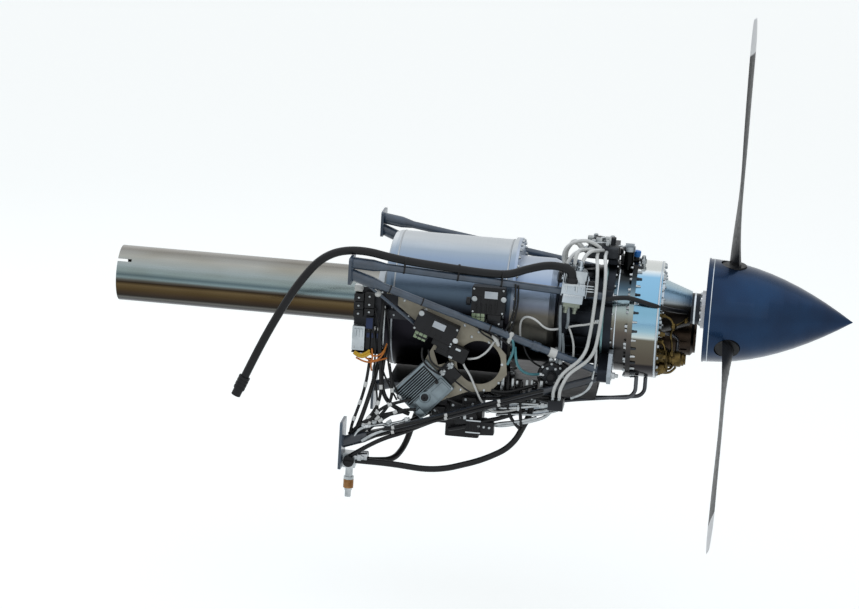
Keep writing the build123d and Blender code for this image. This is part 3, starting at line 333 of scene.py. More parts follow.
def tube_with_painted_reflection():
    tree = start_finish("stainless_tube_painted_reflection")
    share = crown_share(tree, CORE_Z, patches(tree, 30, (0.06, 1, 1)), 0.05)
    # Painted reflection and painted shade: pale on top, golden brown with thin bright lines from
    # the middle down, dark at the underside.
    painted_reflection_ramp = add(tree, "ShaderNodeValToRGB", {"Fac": share}, stops=[
        (0.0, "#151517"), (0.13, "#191819"), (0.165, "#5A5954"), (0.20, "#201B14"),
        (0.27, "#3B3025"), (0.35, "#4D3F29"), (0.42, "#5F5038"), (0.475, "#2D241B"),
        (0.515, "#54524D"), (0.56, "#7C8E92"), (0.61, "#586A70"), (0.67, "#869697"),
        (0.78, "#889191"), (0.92, "#95958F"), (1.0, "#7E7D79")]).outputs["Color"]
    stain = add(tree, "ShaderNodeMapRange", {
        "Value": patches(tree, 90, (0.3, 1, 1), detail=2.0),
        "From Min": 0.45, "From Max": 0.75, "To Min": 0.0, "To Max": 0.55}).outputs[0]
    stained = add(tree, "ShaderNodeMix", {"Factor": stain, 6: painted_reflection_ramp, 7: linear("#CFC3AC")},
                  data_type="RGBA", blend_type="MULTIPLY").outputs[2]
    soot = add(tree, "ShaderNodeMapRange", {
        "Value": off_axis(tree, CORE_Z, "LENGTH")["Value"], "From Min": BORE_RADIUS,
        "From Max": OUTSIDE_RADIUS, "To Min": 1.0, "To Max": 0.0}).outputs[0]
    sooted = add(tree, "ShaderNodeMix", {"Factor": soot, 6: stained, 7: linear("#141312")},
                 data_type="RGBA").outputs[2]
    dents = add(tree, "ShaderNodeBump", {
        "Height": patches(tree, 70, (0.5, 1, 1), detail=1.0), "Distance": 0.0009,
        "Strength": 0.5}).outputs[0]
    scratches = patches(tree, 2.0, (0.02, 1, 1), detail=6.0, rough=0.7)
    close_finish(tree, sooted, scratches, (0.18, 0.34), scratches, 0.03, dents, Metallic=1.0)


tube_with_painted_reflection()
duct_rear, duct_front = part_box("exhaust_duct")
print("Duct length in mm:", round((duct_front - duct_rear).x * 1000))

# %% [markdown]
# ## Castings, paint and plastic
# A casting keeps the grain of its sand mould, so it needs bump at about 1 mm. Paint over
# steel has a clear gloss on an even colour, which the coat sockets give. Moulded plastic
# has a fine spark-eroded texture that breaks up its highlights. Rubber and matt black
# mouldings reflect less than the usual plastic, so their specular level is lower.

# %% Casting, paint, plastic and rubber finishes
MATT_BLACK = 0.28


def grained(name, colours, rough, grain_mm, depth_mm, metallic=0.0, coat=0.0, specular=0.5):
    """A finish with blotches of colour 50 mm across and an even grain."""
    tree = start_finish(name)
    grain = patches(tree, grain_mm)
    close_finish(tree, blotches(tree, 50, colours, 0.32, 3.0), grain, rough, grain, depth_mm,
                 Metallic=metallic, Coat_Weight=coat, Coat_Roughness=0.12,
                 Specular_IOR_Level=specular)


grained("cast_aluminium", ("#848D95", "#A0A8AF"), (0.34, 0.50), 1.5, 0.06, 1.0)
grained("dark_cast_housing", ("#2B2D31", "#434649"), (0.40, 0.58), 1.5, 0.06, 1.0)
grained("oiled_brown_housing", ("#2A2420", "#43382F"), (0.34, 0.52), 1.5, 0.06, 1.0)
grained("silver_cast_box", ("#A2A9AE", "#BFC5C9"), (0.28, 0.42), 1.2, 0.05, 1.0)
grained("grey_regulator_casting", ("#69747A", "#828E94"), (0.32, 0.46), 1.2, 0.05, 1.0)
grained("grey_green_cast_block", ("#7D8578", "#989F90"), (0.36, 0.50), 1.5, 0.05, 0.5)
grained("teal_anodised_edge", ("#5F8084", "#83A3A6"), (0.26, 0.38), 2.0, 0.01, 1.0)
grained("khaki_plated_sheet", ("#857F70", "#A09A8A"), (0.38, 0.52), 2.5, 0.02, 0.4)
grained("blue_grey_truss_enamel", ("#33404E", "#465769"), (0.28, 0.40), 2.0, 0.03, coat=0.4)
# The lower struts carry a darker copy of the same enamel: painted shade.
grained("truss_enamel_painted_shade", ("#20262E", "#2F3843"), (0.28, 0.40), 2.0, 0.03, coat=0.3)
grained("black_moulded_casing", ("#111113", "#1B1C1F"), (0.38, 0.55), 0.8, 0.03,
        specular=MATT_BLACK)
grained("black_hose_rubber", ("#0B0C0D", "#16171A"), (0.32, 0.50), 1.2, 0.03,
        specular=MATT_BLACK)
grained("navy_relay_cover", ("#1B2644", "#2A385C"), (0.34, 0.46), 1.5, 0.02,
        specular=MATT_BLACK)
grained("white_tube_plastic", ("#D9DAD6", "#EFEFEA"), (0.26, 0.38), 2.0, 0.02)
grained("grey_tube_plastic", ("#8D979C", "#A9B2B5"), (0.30, 0.42), 2.0, 0.02)
grained("teal_tube_plastic", ("#3E7C86", "#5E9CA4"), (0.30, 0.42), 2.0, 0.02)
grained("green_connector_plastic", ("#93A784", "#B5C4A3"), (0.38, 0.50), 1.0, 0.02)
grained("white_connector_plastic", ("#D8D8D2", "#EAEAE4"), (0.35, 0.48), 1.0, 0.02)
grained("blank_label_film", ("#C9D0D6", "#DDE2E6"), (0.40, 0.50), 3.0, 0.01)
grained("blue_transit_cap", ("#1F6FC0", "#3A8BDA"), (0.30, 0.42), 2.0, 0.02)
grained("orange_wire_sleeve", ("#C4681E", "#DE8A34"), (0.36, 0.48), 1.5, 0.02)
grained("yellow_wire_sleeve", ("#D3A41C", "#ECC23E"), (0.36, 0.48), 1.5, 0.02)
print("Finishes so far:", len(FINISH))

# %% [markdown]
# ## Spinner lacquer and carbon blades
# The spinner is spun sheet under dark blue-grey lacquer. A little metal in the base and a
# clear coat give the soft broad reflection. The blades are carbon laminate: a twill weave
# shows under the resin, and the outer 100 mm is painted white. A real twill is about 2 mm
# wide; here its bands are about 4 mm wide, so that they show in the render.

# %% Spinner and blade finishes
TIP_PAINT = (0.779, 0.785)  # metres from the propeller axis, where the white begins


def spinner_lacquer():
    tree = start_finish("dark_spinner_lacquer")
    dust = patches(tree, 1.5, detail=2.0)
    rings = patches(tree, 5.0, (1, 0.02, 0.02))
    close_finish(tree, blotches(tree, 140, ("#0D2440", "#133354")), dust, (0.24, 0.34),
                 rings, 0.05, Metallic=0.85, Coat_Weight=0.18, Coat_Roughness=0.12)


def carbon_blade():
    tree = start_finish("carbon_laminate_blade")
    place = add(tree, "ShaderNodeTexCoord").outputs["Object"]
    weave = add(tree, "ShaderNodeTexWave", {"Vector": place, "Scale": 40.0, "Distortion": 0.0},
                wave_type="BANDS", bands_direction="DIAGONAL").outputs["Fac"]
    cloth = add(tree, "ShaderNodeValToRGB", {"Fac": weave}, stops=[
        (0.35, "#0E0F11"), (0.65, "#191B1F")]).outputs["Color"]
    tip = add(tree, "ShaderNodeMapRange", {
        "Value": off_axis(tree, PROPELLER_Z, "LENGTH")["Value"], "From Min": TIP_PAINT[0],
        "From Max": TIP_PAINT[1], "To Min": 0.0, "To Max": 1.0}).outputs[0]
    colour = add(tree, "ShaderNodeMix", {"Factor": tip, 6: cloth, 7: linear("#FAFAF8")},
                 data_type="RGBA").outputs[2]
    close_finish(tree, colour, patches(tree, 12, detail=2.0), (0.34, 0.48), weave, 0.02,
                 Specular_IOR_Level=0.25)


spinner_lacquer()
carbon_blade()
blade_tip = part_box("propeller_blade_1")[1].z * 1000
print("Blade tip radius in mm:", round(blade_tip - PROPELLER_Z))

# %% [markdown]
# ## Giving each solid part its finish
# A CAD part keeps its mesh, and only its material slots change. The table below says
# what each part is made of on the real engine.

# %% Finish of each CAD part
PARTS = {
    "stainless_tube_painted_reflection": ["exhaust_duct"],
    "drum_sheet_painted_reflection": ["recuperator_casing"],
    "pressed_casing_painted_reflection": ["combustor_casing"],
    "smoked_sheet": ["accessory_tray", "equipment_rail", "harness_bracket"],
    "scaled_hot_alloy": ["recuperator_core", "combustor_liner", "turbine_wheel"],
    "cast_aluminium": ["centre_housing", "oil_tank"],
    "nose_casting_painted_reflection": ["nose_housing"],
    "silver_cast_box": ["terminal_box", "harness_block"],
    "grey_regulator_casting": ["finned_regulator"],
    "polished_ring_painted_reflection": ["gearbox_case"],
    "intake_band_painted_light": ["inlet_case"],
    "polished_aluminium_ring": ["compressor_impeller"],
    "dark_anodised_plate": ["mount_ring"],
    "milled_aluminium": ["front_brackets", "propeller_hub", "oil_filler_cap"],
    "ground_steel": ["rotor_shaft", "shaft_bearings", "layshaft", "layshaft_gear", "output_gear",
                     "propeller_shaft", "pitch_piston"],
    "zinc_plated_steel": ["quick_coupling", "shutoff_valve"],
    "dark_steel_pipe": ["oil_pipes"],
    "gold_passivated_steel": ["propeller_governor"],
    "worn_bronze": ["coupling_sleeve"],
    "blue_grey_truss_enamel": ["firewall_feet", "upper_strut_right", "upper_strut_left",
                               "diagonal_strut_right", "diagonal_strut_left"],
    "truss_enamel_painted_shade": ["lower_strut_right", "lower_strut_left"],
    "khaki_plated_sheet": ["gusset_plate"],
    "dark_cast_housing": ["compressor_cover", "top_manifold", "fuel_pump"],
    "oiled_brown_housing": ["starter_generator"],
    "black_moulded_casing": ["control_unit_upper", "control_unit_lower", "fuel_control_unit",
                             "cable_connector", "shutoff_knob", "harness_relays"],
    "dark_spinner_lacquer": ["spinner_dome", "spinner_backplate"],
    "carbon_laminate_blade": ["propeller_blade_1", "propeller_blade_2", "propeller_blade_3"],
    "black_hose_rubber": ["power_cable", "fuel_hoses"],
    "white_tube_plastic": ["white_hoses"],
}

for finish, names in PARTS.items():
    for node in names:
        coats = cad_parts[node].data.materials
        coats.clear()
        coats.append(FINISH[finish])
bare = set(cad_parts) - {node for names in PARTS.values() for node in names}
print("Parts without a finish:", sorted(bare))

# %% [markdown]
# ## Shapes for small parts
# Most fittings on an engine are turned on a lathe or cut from a block, so two helpers
# make those: one spins an outline about a line, the other bevels a box. They add their
# shapes to a mesh in the making, which a later helper closes.

# %% Shape helpers
STILL = Matrix.Identity(4)
DRESSING = []
# Directions in the engine's frame. Outboard is its right side, which the photograph shows.
FORE, AFT, OUTBOARD, UP, DOWN = (1, 0, 0), (-1, 0, 0), (0, -1, 0), (0, 0, 1), (0, 0, -1)


def facing(place, direction):
    """Matrix that stands a shape's own Z along a direction, at a place in mm."""
    turned = Vector(direction).to_track_quat("Z", "Y").to_matrix().to_4x4()
    return Matrix.Translation(Vector(place) / 1000) @ turned


def lathe(bm, outline, place, direction, sides=24, ring=False, pose=STILL):
    """Solid of revolution from (distance along, radius) pairs in mm, or a hollow ring."""
    stand = pose @ facing(place, direction)
    turns = [math.tau * k / sides for k in range(sides)]
    hoops = []
    for along, radius in outline:
        hoops.append([bm.verts.new(stand @ Vector((
            radius / 1000 * math.cos(angle), radius / 1000 * math.sin(angle), along / 1000)))
            for angle in (turns if radius else turns[:1])])
    pairs = list(zip(hoops, hoops[1:])) + ([(hoops[-1], hoops[0])] if ring else [])
    for low, high in pairs:
        for k in range(sides):
            corners = [low[k % len(low)], low[(k + 1) % len(low)],
                       high[(k + 1) % len(high)], high[k % len(high)]]
            face = list(dict.fromkeys(corners))
            if len(face) > 2:
                bm.faces.new(face)
    if not ring:
        for hoop in (hoops[0][::-1], hoops[-1]):
            if len(hoop) > 2:
                bm.faces.new(hoop)


def band(bm, inner, outer, width, place, direction=FORE, sides=64, pose=STILL):
    """Square-edged ring, from its two radii and its width in mm."""
    lathe(bm, [(0, inner), (0, outer), (width, outer), (width, inner)], place, direction,
          sides, True, pose)


def casing_block(bm, centre, size, turn=0.0, edge=1.2, pose=STILL):
    """Box in mm with rounded edges, turned by degrees about the axis across the engine."""
    place = (pose @ Matrix.Translation(Vector(centre) / 1000)
             @ Matrix.Rotation(math.radians(turn), 4, "Y")
             @ Matrix.Diagonal((*(Vector(size) / 1000), 1)))
    made = bmesh.ops.create_cube(bm, size=1, matrix=place)["verts"]
    edges = list(dict.fromkeys(e for v in made for e in v.link_edges))
    bmesh.ops.bevel(bm, geom=edges, offset=edge / 1000, segments=2, affect="EDGES", profile=0.5)


print("Named directions:", FORE, AFT, OUTBOARD, UP, DOWN)

# %% [markdown]
# ## From shapes to a piece
# A piece is one mesh or one set of tubes with one finish. It rides on the body that
# carries it, and its material slot says what it is made of. Places of pieces are taken
# from the corners of the CAD parts wherever one stands near.

# %% Pieces and corners


def hand_over(piece, body):
    """Lets a finished piece ride on its body."""
    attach(piece, body)
    DRESSING.append(piece.name)


def piece_from(bm, name, finish, body="engine", sharp=32):
    """Merges doubled points, turns faces outward, keeps hard edges hard, and names the
    piece with its finish."""
    bmesh.ops.remove_doubles(bm, verts=bm.verts, dist=0.000005)
    bmesh.ops.recalc_face_normals(bm, faces=bm.faces)
    mesh = bpy.data.meshes.new(name)
    bm.to_mesh(mesh)
    bm.free()
    for face in mesh.polygons:
        face.use_smooth = True
    mesh.set_sharp_from_angle(angle=math.radians(sharp))
    mesh.materials.append(FINISH[finish])
    piece = bpy.data.objects.new(name, mesh)
    bpy.context.scene.collection.objects.link(piece)
    hand_over(piece, body)
    return piece


def tube_set(name, routes, radius, finish):
    """Tubes or wires that the engine holds, one smooth spline each."""
    line = nurbs_line(name, routes, radius, 3)
    line.data.materials.append(FINISH[finish])
    hand_over(line, "engine")


def low_corner(node):
    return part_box(node)[0] * 1000


def high_corner(node):
    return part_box(node)[1] * 1000


print("Crown of the drum in mm:", round(high_corner("recuperator_casing").z))

# %% [markdown]
# ## Bolt rings
# Every flange is closed by a ring of hexagon bolts. Modelling each one by hand would
# take hundreds of copies, so Geometry Nodes place one bolt head on the points of a
# circle. The inputs are the numbers a designer would change: how many, the bolt circle,
# the size across the head and its height. The head is a stack of three shapes, whose
# radii, depths and heights above the flange are shares of the head's own sizes.

# %% Geometry Nodes tree for bolts on a circle
WASHER = ("GeometryNodeMeshCylinder", 16, {"Radius": 1.2}, 0.3, 0.15)
HEXAGON = ("GeometryNodeMeshCylinder", 6, {"Radius": 1.0}, 0.8, 0.4)
CHAMFER = ("GeometryNodeMeshCone", 12, {"Radius Bottom": 0.86, "Radius Top": 0.7}, 0.12, 0.8)


def bolt_tree():
    tree = bpy.data.node_groups.new("bolts_on_a_circle", "GeometryNodeTree")
    sizes = {"Bolt Count": ("NodeSocketInt", 12), "Circle Radius": ("NodeSocketFloat", 0.1),
             "Head Radius": ("NodeSocketFloat", 0.005),
             "Head Height": ("NodeSocketFloat", 0.005), "Finish": ("NodeSocketMaterial", None)}
    for label, (kind, value) in sizes.items():
        socket = tree.interface.new_socket(label, in_out="INPUT", socket_type=kind)
        if value is not None:
            socket.default_value = value
    tree.interface.new_socket("Geometry", in_out="OUTPUT", socket_type="NodeSocketGeometry")
    given = add(tree, "NodeGroupInput").outputs
    circle = add(tree, "GeometryNodeMeshCircle", {
        "Vertices": given["Bolt Count"], "Radius": given["Circle Radius"]})
    bolt = add(tree, "GeometryNodeJoinGeometry")
    for kind, sides, radii, depth, height in (WASHER, HEXAGON, CHAMFER):
        shares = {label: ("Head Radius", share) for label, share in radii.items()}
        shares.update({"Depth": ("Head Height", depth), "Z": ("Head Height", height)})
        scaled = {label: add(tree, "ShaderNodeMath", {0: given[size], 1: share},
                             operation="MULTIPLY").outputs[0]
                  for label, (size, share) in shares.items()}
        lift = add(tree, "ShaderNodeCombineXYZ", {"Z": scaled.pop("Z")})
        shape = add(tree, kind, {"Vertices": sides, **scaled}, fill_type="NGON")
        raised = add(tree, "GeometryNodeTransform", {
            "Geometry": shape.outputs["Mesh"], "Translation": lift.outputs[0]})
        tree.links.new(raised.outputs[0], bolt.inputs["Geometry"])
    placed = add(tree, "GeometryNodeInstanceOnPoints", {
        "Points": circle.outputs["Mesh"], "Instance": bolt.outputs[0]})
    plain = add(tree, "GeometryNodeRealizeInstances", {"Geometry": placed.outputs[0]})
    coloured = add(tree, "GeometryNodeSetMaterial", {
        "Geometry": plain.outputs[0], "Material": given["Finish"]})
    add(tree, "NodeGroupOutput", {"Geometry": coloured.outputs[0]})
    return tree


BOLTS = bolt_tree()
SOCKETS = {item.name: item.identifier for item in BOLTS.interface.items_tree
           if item.in_out == "INPUT"}
print("Bolt inputs:", ", ".join(SOCKETS))

# %% [markdown]
# ## One table for all the bolts
# Each row is a ring: how many bolts, the radius of their circle, the head's radius and
# height, then where the ring stands and which way its heads point. A last number turns
# the ring, so that two rings can interleave.

# %% Bolt rings from one table


def bolt_ring(finish, count, circle, head, height, place, direction, phase=0.0):
    """Mesh of one ring of bolts, from sizes in mm and a phase in degrees."""
    holder = bpy.data.objects.new("bolt_ring_builder", bpy.data.meshes.new("bolt_ring_builder"))
    bpy.context.scene.collection.objects.link(holder)
    nodes = holder.modifiers.new("bolts", "NODES")
    nodes.node_group = BOLTS
    for label, value in (("Bolt Count", count), ("Circle Radius", circle / 1000),
                         ("Head Radius", head / 1000), ("Head Height", height / 1000),
                         ("Finish", FINISH[finish])):
        nodes[SOCKETS[label]] = value
    ready = holder.evaluated_get(bpy.context.evaluated_depsgraph_get())
    mesh = bpy.data.meshes.new_from_object(ready)
    mesh.transform(facing(place, direction) @ Matrix.Rotation(math.radians(phase), 4, "Z"))
    bpy.data.objects.remove(holder)
    return mesh


def bolt_piece(name, rings, finish, body="engine"):
    """One mesh piece from several rings of bolts on the same body."""
    bm = bmesh.new()
    for ring in rings:
        bm.from_mesh(bolt_ring(finish, *ring))
    piece_from(bm, name, finish, body, sharp=20)


drum_rear = low_corner("recuperator_casing").x
casing_flange = high_corner("recuperator_casing").x + 8
inlet_end = high_corner("inlet_case").x
gearbox_end = high_corner("gearbox_case").x
nose_end = high_corner("nose_housing").x - 26
ring_end = high_corner("mount_ring").x
shaft_end = high_corner("propeller_shaft").x
bolt_piece("case_flange_bolts", [
    (36, 200, 4.6, 7, (casing_flange, 0, CORE_Z), FORE),
    (24, 164, 3.4, 5, (ring_end, 0, CORE_Z), FORE),
    (20, 169.5, 4.6, 8, (inlet_end - 14, 0, CORE_Z), AFT),
    (24, 163, 4.6, 6, (gearbox_end, 0, CORE_Z), FORE),
    (14, 89, 3.6, 5, (gearbox_end + 6, 0, PROPELLER_Z), FORE),
    (16, 97, 4.6, 6, (drum_rear - 5, 0, CORE_Z), AFT),
    (20, 174.5, 3.4, 15, (inlet_end, 0, CORE_Z), FORE, 9.0),
    (20, 174.5, 4.4, 9, (inlet_end - 14, 0, CORE_Z), AFT, 4.5),
], "zinc_plated_steel")
bolt_piece("ring_edge_studs", [(20, 174.5, 3.6, 17, (inlet_end, 0, CORE_Z), FORE)],
           "dark_cast_housing")
bolt_piece("hub_flange_bolts", [(8, 46, 5.0, 6, (shaft_end - 12, 0, PROPELLER_Z), AFT)],
           "zinc_plated_steel", "propeller")
print("Bolt pieces:", DRESSING)

# %% [markdown]
# ## Flanges, bands and seams
# Sheet casings get their stiffness from rolled beads and bolted rings. Each of these is
# a hollow ring with a small section, turned about the core or the propeller axis. The
# bright line on the spinner is the edge of the back plate, which is left unpainted.

# %% Turned rings
bm = bmesh.new()
for station in (drum_rear + 27, casing_flange - 30):
    lathe(bm, [(0, 199), (2, 201.2), (5, 201.2), (7, 199)], (station, 0, CORE_Z), FORE,
          96, ring=True)
band(bm, 84, 104, 5, (drum_rear - 5, 0, CORE_Z))
band(bm, 83.2, 87, 18, (drum_rear - 32, 0, CORE_Z))
piece_from(bm, "drum_beads_and_duct_flange", "satin_stainless_sheet")

bm = bmesh.new()
band(bm, 80, 94, 6, (gearbox_end, 0, PROPELLER_Z))
lathe(bm, [(0, 172), (1.5, 174.2), (6, 174.2), (7.5, 172)], (gearbox_end - 9, 0, CORE_Z),
      FORE, 120, ring=True)
lathe(bm, [(0, 159), (1, 161.4), (4, 161.4), (5, 159)], (ring_end + 8, 0, CORE_Z),
      FORE, 120, ring=True)
piece_from(bm, "gearbox_flange_rings", "polished_aluminium_ring")

bm = bmesh.new()
band(bm, 168.1, 170.4, 6, (ring_end - 29, 0, CORE_Z), sides=120)
piece_from(bm, "ring_edge_band", "teal_anodised_edge")
print("Rings end at station", round(gearbox_end), "mm")

# %% [markdown]
# ## Shaft seal and intake fairing
# A dark sleeve closes the nose round the propeller shaft, and a bright clamp holds it. In
# the gap behind the gearbox a cone of sheet with 24 thin vanes guides the air in.

# %% Seal, clamp, vanes and the spinner's bright line
VANES = 24
bm = bmesh.new()
band(bm, 45.1, 46.4, 25, (nose_end + 0.5, 0, PROPELLER_Z))
lathe(bm, [(0, 128), (0, 130), (112, 150), (112, 148)], (604, 0, CORE_Z), FORE, 96,
      ring=True)
for k in range(VANES):
    turned = (Matrix.Translation((0, 0, CORE_Z / 1000))
              @ Matrix.Rotation(math.tau * k / VANES, 4, "X"))
    casing_block(bm, (660, 0, 142.5), (92, 2.4, 9), edge=0.8, pose=turned)
piece_from(bm, "seal_sleeve_and_intake_fairing", "dark_anodised_plate")
bm = bmesh.new()
band(bm, 46.4, 47.8, 5, (nose_end + 8, 0, PROPELLER_Z))
piece_from(bm, "seal_clamp_ring", "polished_aluminium_ring")

seam = low_corner("spinner_dome").x
bm = bmesh.new()
band(bm, 150, 152.9, 2.2, (seam - 2.4, 0, PROPELLER_Z), sides=160)
piece_from(bm, "spinner_seam_line", "polished_aluminium_ring",
           "propeller")
print("Seam station in mm:", round(seam))

# %% [markdown]
# ## Strut hardware
# The struts end in big bolts at the ears of the ring. One tie of the diagonal carries a
# white ferrule. Cable ties hold the power cable to the upper strut: each is a pair of
# thin bands with a bridge between them.

# %% Ear bolts, ferrule and ties
bm = bmesh.new()
for side in (-1, 1):
    for y, z, front in ((172.3, 205.5, 750.0), (190.9, -23.6, 762.0)):
        lathe(bm, [(0, 14), (2.5, 14)], (front, side * y, z), FORE, 24)
        lathe(bm, [(2.5, 10), (11, 10), (12, 8.6)], (front, side * y, z), FORE, 6)
        lathe(bm, [(12, 5.5), (20, 5.5), (21, 4.5)], (front, side * y, z), FORE, 16)
piece_from(bm, "strut_ear_bolts", "zinc_plated_steel")

UPPER_START, UPPER_END = Vector((8.0, -318.0, 276.0)), Vector((722.0, -172.3, 205.5))
DIAGONAL_START, DIAGONAL_END = Vector((8.0, -318.0, 240.0)), Vector((722.0, -190.9, -11.6))
DIAGONAL = DIAGONAL_END - DIAGONAL_START
DIAGONAL_LENGTH = 760
STRUT_RADIUS = 11.1
CABLE_RISE = 24


def strut_pose(distance):
    """Matrix on the upper strut: X along it, Z away from it upwards, in metres."""
    along = (UPPER_END - UPPER_START).normalized()
    side = Vector(UP).cross(along).normalized()
    columns = Matrix((along, side, along.cross(side))).transposed().to_4x4()
    return Matrix.Translation((UPPER_START + along * distance) / 1000) @ columns


bm = bmesh.new()
for distance in (143, 300, 428):
    tie = strut_pose(distance)
    band(bm, STRUT_RADIUS, 12.6, 5, (0, 0, 0), FORE, 32, tie)
    band(bm, 12.1, 13.6, 5, (0, 0, CABLE_RISE), FORE, 32, tie)
    casing_block(bm, (2.5, -9, CABLE_RISE / 2), (5, 4, 8), pose=tie)
for distance in (110, 210, 420, 560):
    band(bm, STRUT_RADIUS, 12.4, 4,
         DIAGONAL_START.lerp(DIAGONAL_END, distance / DIAGONAL_LENGTH), DIAGONAL, 32)
piece_from(bm, "cable_ties", "black_moulded_casing")

bm = bmesh.new()
band(bm, STRUT_RADIUS, 14, 22, DIAGONAL_START.lerp(DIAGONAL_END, 0.80), DIAGONAL, 32)
lathe(bm, [(0, 0), (1, 5), (5, 9), (9, 10), (13, 9), (17, 5), (18, 0)], (74, -298, 192),
      (0.6, 0.26, -0.75))
lathe(bm, [(0, 4), (16, 4)], (68, -300, 200), (0.6, 0.26, -0.75), 12)
piece_from(bm, "white_ferrule_and_ball_joint", "white_connector_plastic")
tube_set("adjusting_rod", [
    [(30, -314, 228), (52, -308, 210), (82, -294, 184)],
    [(84, -293, 182), (144, -266, 130), (206, -236, 74)],
], 4.5, "blue_grey_truss_enamel")
print("Pieces so far:", len(DRESSING))

# %% [markdown]
# ## Electronics boxes
# The boxes are castings with blank labels, screws and pale green plugs. A box that is
# tilted gets its own matrix, so its label and screws are placed in the box's own
# directions.

# %% Boxes' poses


def box_pose(centre, tilt):
    return Matrix.Translation(Vector(centre) / 1000) @ Matrix.Rotation(math.radians(tilt), 4, "Y")


upper_low = low_corner("control_unit_upper")
upper_high = high_corner("control_unit_upper")
UPPER_BOX = box_pose((upper_low.lerp(upper_high, 0.5).x, upper_low.y, upper_high.z - 40), 0)
LOWER_BOX = box_pose((250, -268, 89), 20)
REGULATOR = box_pose((222, -250, -101), -48)


def screw(bm, x, z, pose, radius=3.2, out=0.0):
    """Screw head with a rounded edge, on the face of a box."""
    lathe(bm, [(0, radius), (1.6, radius), (2.4, radius * 0.7)], (x, -out, z), OUTBOARD, 16,
          pose=pose)


print("Upper box centre in mm:", [round(v * 1000) for v in UPPER_BOX.translation])

# %% [markdown]
# ## Labels and screws
# Each box has a blank label plate and a screw at each corner. The gusset plate behind
# them is riveted to the engine, so its fasteners are listed where the photograph shows them.

# %% Labels, screws and lugs
bm = bmesh.new()
casing_block(bm, (8, -0.2, 18), (38, 1.0, 21), edge=0.3, pose=UPPER_BOX)
casing_block(bm, (6, -0.2, 12), (38, 1.0, 19), edge=0.3, pose=LOWER_BOX)
casing_block(bm, (330, -198.4, -183), (40, 1.2, 12), edge=0.3)
piece_from(bm, "blank_labels", "blank_label_film")

bm = bmesh.new()
for x in (-43, 43):
    for z in (-34, 34):
        screw(bm, x, z, UPPER_BOX)
    for z in (-23, 23):
        screw(bm, x * 1.35, z, LOWER_BOX)
for x, z in ((-63, -54), (-63, 26), (63, -54), (63, 26)):
    screw(bm, x, z, REGULATOR, 3.6)
for x, z, pose in ((-56, 26, LOWER_BOX), (66, -8, LOWER_BOX), (-40, 4, UPPER_BOX),
                   (45, 8, UPPER_BOX)):
    lathe(bm, [(0, 8), (3, 8), (4, 6.5), (4, 4)], (x, 0, z), OUTBOARD, 24, pose=pose)
GUSSET_FASTENERS = ((112, 168), (150, 158), (214, 134), (330, 98), (372, 82), (300, 62), (352, 66),
                    (404, 54), (446, -10), (440, -66), (398, -92), (330, -96), (290, -60),
                    (222, -36))
for x, z in GUSSET_FASTENERS:
    lathe(bm, [(0, 4.2), (1.2, 4.2), (2.4, 2.6)], (x, -232, z), OUTBOARD, 16)
for x in range(120, 430, 44):
    lathe(bm, [(0, 3.2), (1.4, 3.2), (2.2, 2)], (x, -229, CORE_Z), OUTBOARD, 12)
piece_from(bm, "box_screws_and_lugs", "zinc_plated_steel")
print("Fasteners on the gusset plate:", len(GUSSET_FASTENERS))

# %% [markdown]
# ## Plugs and ribs
# The pale green plugs are rows of small square housings made by a loop, and the black
# casings have moulded ribs and sockets below their lids.

# %% Green plugs and ribs on the boxes
bm = bmesh.new()
for pose, left, low in ((UPPER_BOX, -40, -52), (LOWER_BOX, -46, -40)):
    for column in range(3):
        for row in range(2):
            casing_block(bm, (left + 13 * column, 14 - 3 * row, low + 13 * row - 6),
                         (11.5, 16, 11.5), edge=1.5, pose=pose)
piece_from(bm, "green_plugs", "green_connector_plastic")

bm = bmesh.new()
for k in range(5):
    casing_block(bm, (-34 + 14 * k, 2, -24), (3, 7, 26), edge=0.8, pose=UPPER_BOX)
    casing_block(bm, (-30 + 18 * k, 2, -20), (3, 6, 12), edge=0.8, pose=LOWER_BOX)
casing_block(bm, (20, 14, -50), (40, 26, 20), edge=3, pose=UPPER_BOX)
casing_block(bm, (30, 16, -38), (52, 26, 18), edge=3, pose=LOWER_BOX)
lathe(bm, [(0, 12), (10, 12), (12, 10)], (-52, 8, -6), AFT, 20, pose=UPPER_BOX)
piece_from(bm, "box_ribs_and_sockets", "black_moulded_casing")
print("Pieces so far:", len(DRESSING))

# %% [markdown]
# ## Finned regulator
# The regulator is one casting: a base, a rim, fins along half of its face and a smooth
# cover with a knob. It stands for the plain CAD solid, so it is built in the same place
# and to the same size, with the fins cast the way the photograph shows them.

# %% Regulator
bm = bmesh.new()
casing_block(bm, (0, 9, 0), (137, 18, 120), edge=2.5, pose=REGULATOR)
casing_block(bm, (0, -3.5, 55), (134, 9, 8), edge=1.5, pose=REGULATOR)
for k in range(8):
    casing_block(bm, (-5, -4.5, 45 - 6.6 * k), (112, 11, 2.6), edge=0.8, pose=REGULATOR)
casing_block(bm, (10, -2.5, -32), (110, 7, 46), edge=3, pose=REGULATOR)
casing_block(bm, (36, -6, -36), (48, 5, 32), edge=2.5, pose=REGULATOR)
casing_block(bm, (-54, -4, -44), (20, 9, 24), edge=2.5, pose=REGULATOR)
lathe(bm, [(0, 17), (5, 17), (7, 15), (7, 11)], (-11, -2, -19), OUTBOARD, 36, pose=REGULATOR)
regulator = piece_from(bm, "regulator_casting", "grey_regulator_casting")
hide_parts("finned_regulator")
bm = bmesh.new()
# The thin black sheet on the base behind the fins is painted shade in the gaps between them.
casing_block(bm, (-5, 0.1, 22), (116, 1.2, 58), edge=0.2, pose=REGULATOR)
lathe(bm, [(0, 11), (5, 11), (7, 9), (7, 4), (3, 3.6), (3, 0)], (-11, -8.5, -19), OUTBOARD, 28,
      pose=REGULATOR)
lathe(bm, [(0, 5), (7, 5)], (48, -8, -10), OUTBOARD, 16, pose=REGULATOR)
piece_from(bm, "regulator_knob_and_painted_fin_shade", "black_moulded_casing")
print("Pieces so far:", len(DRESSING))

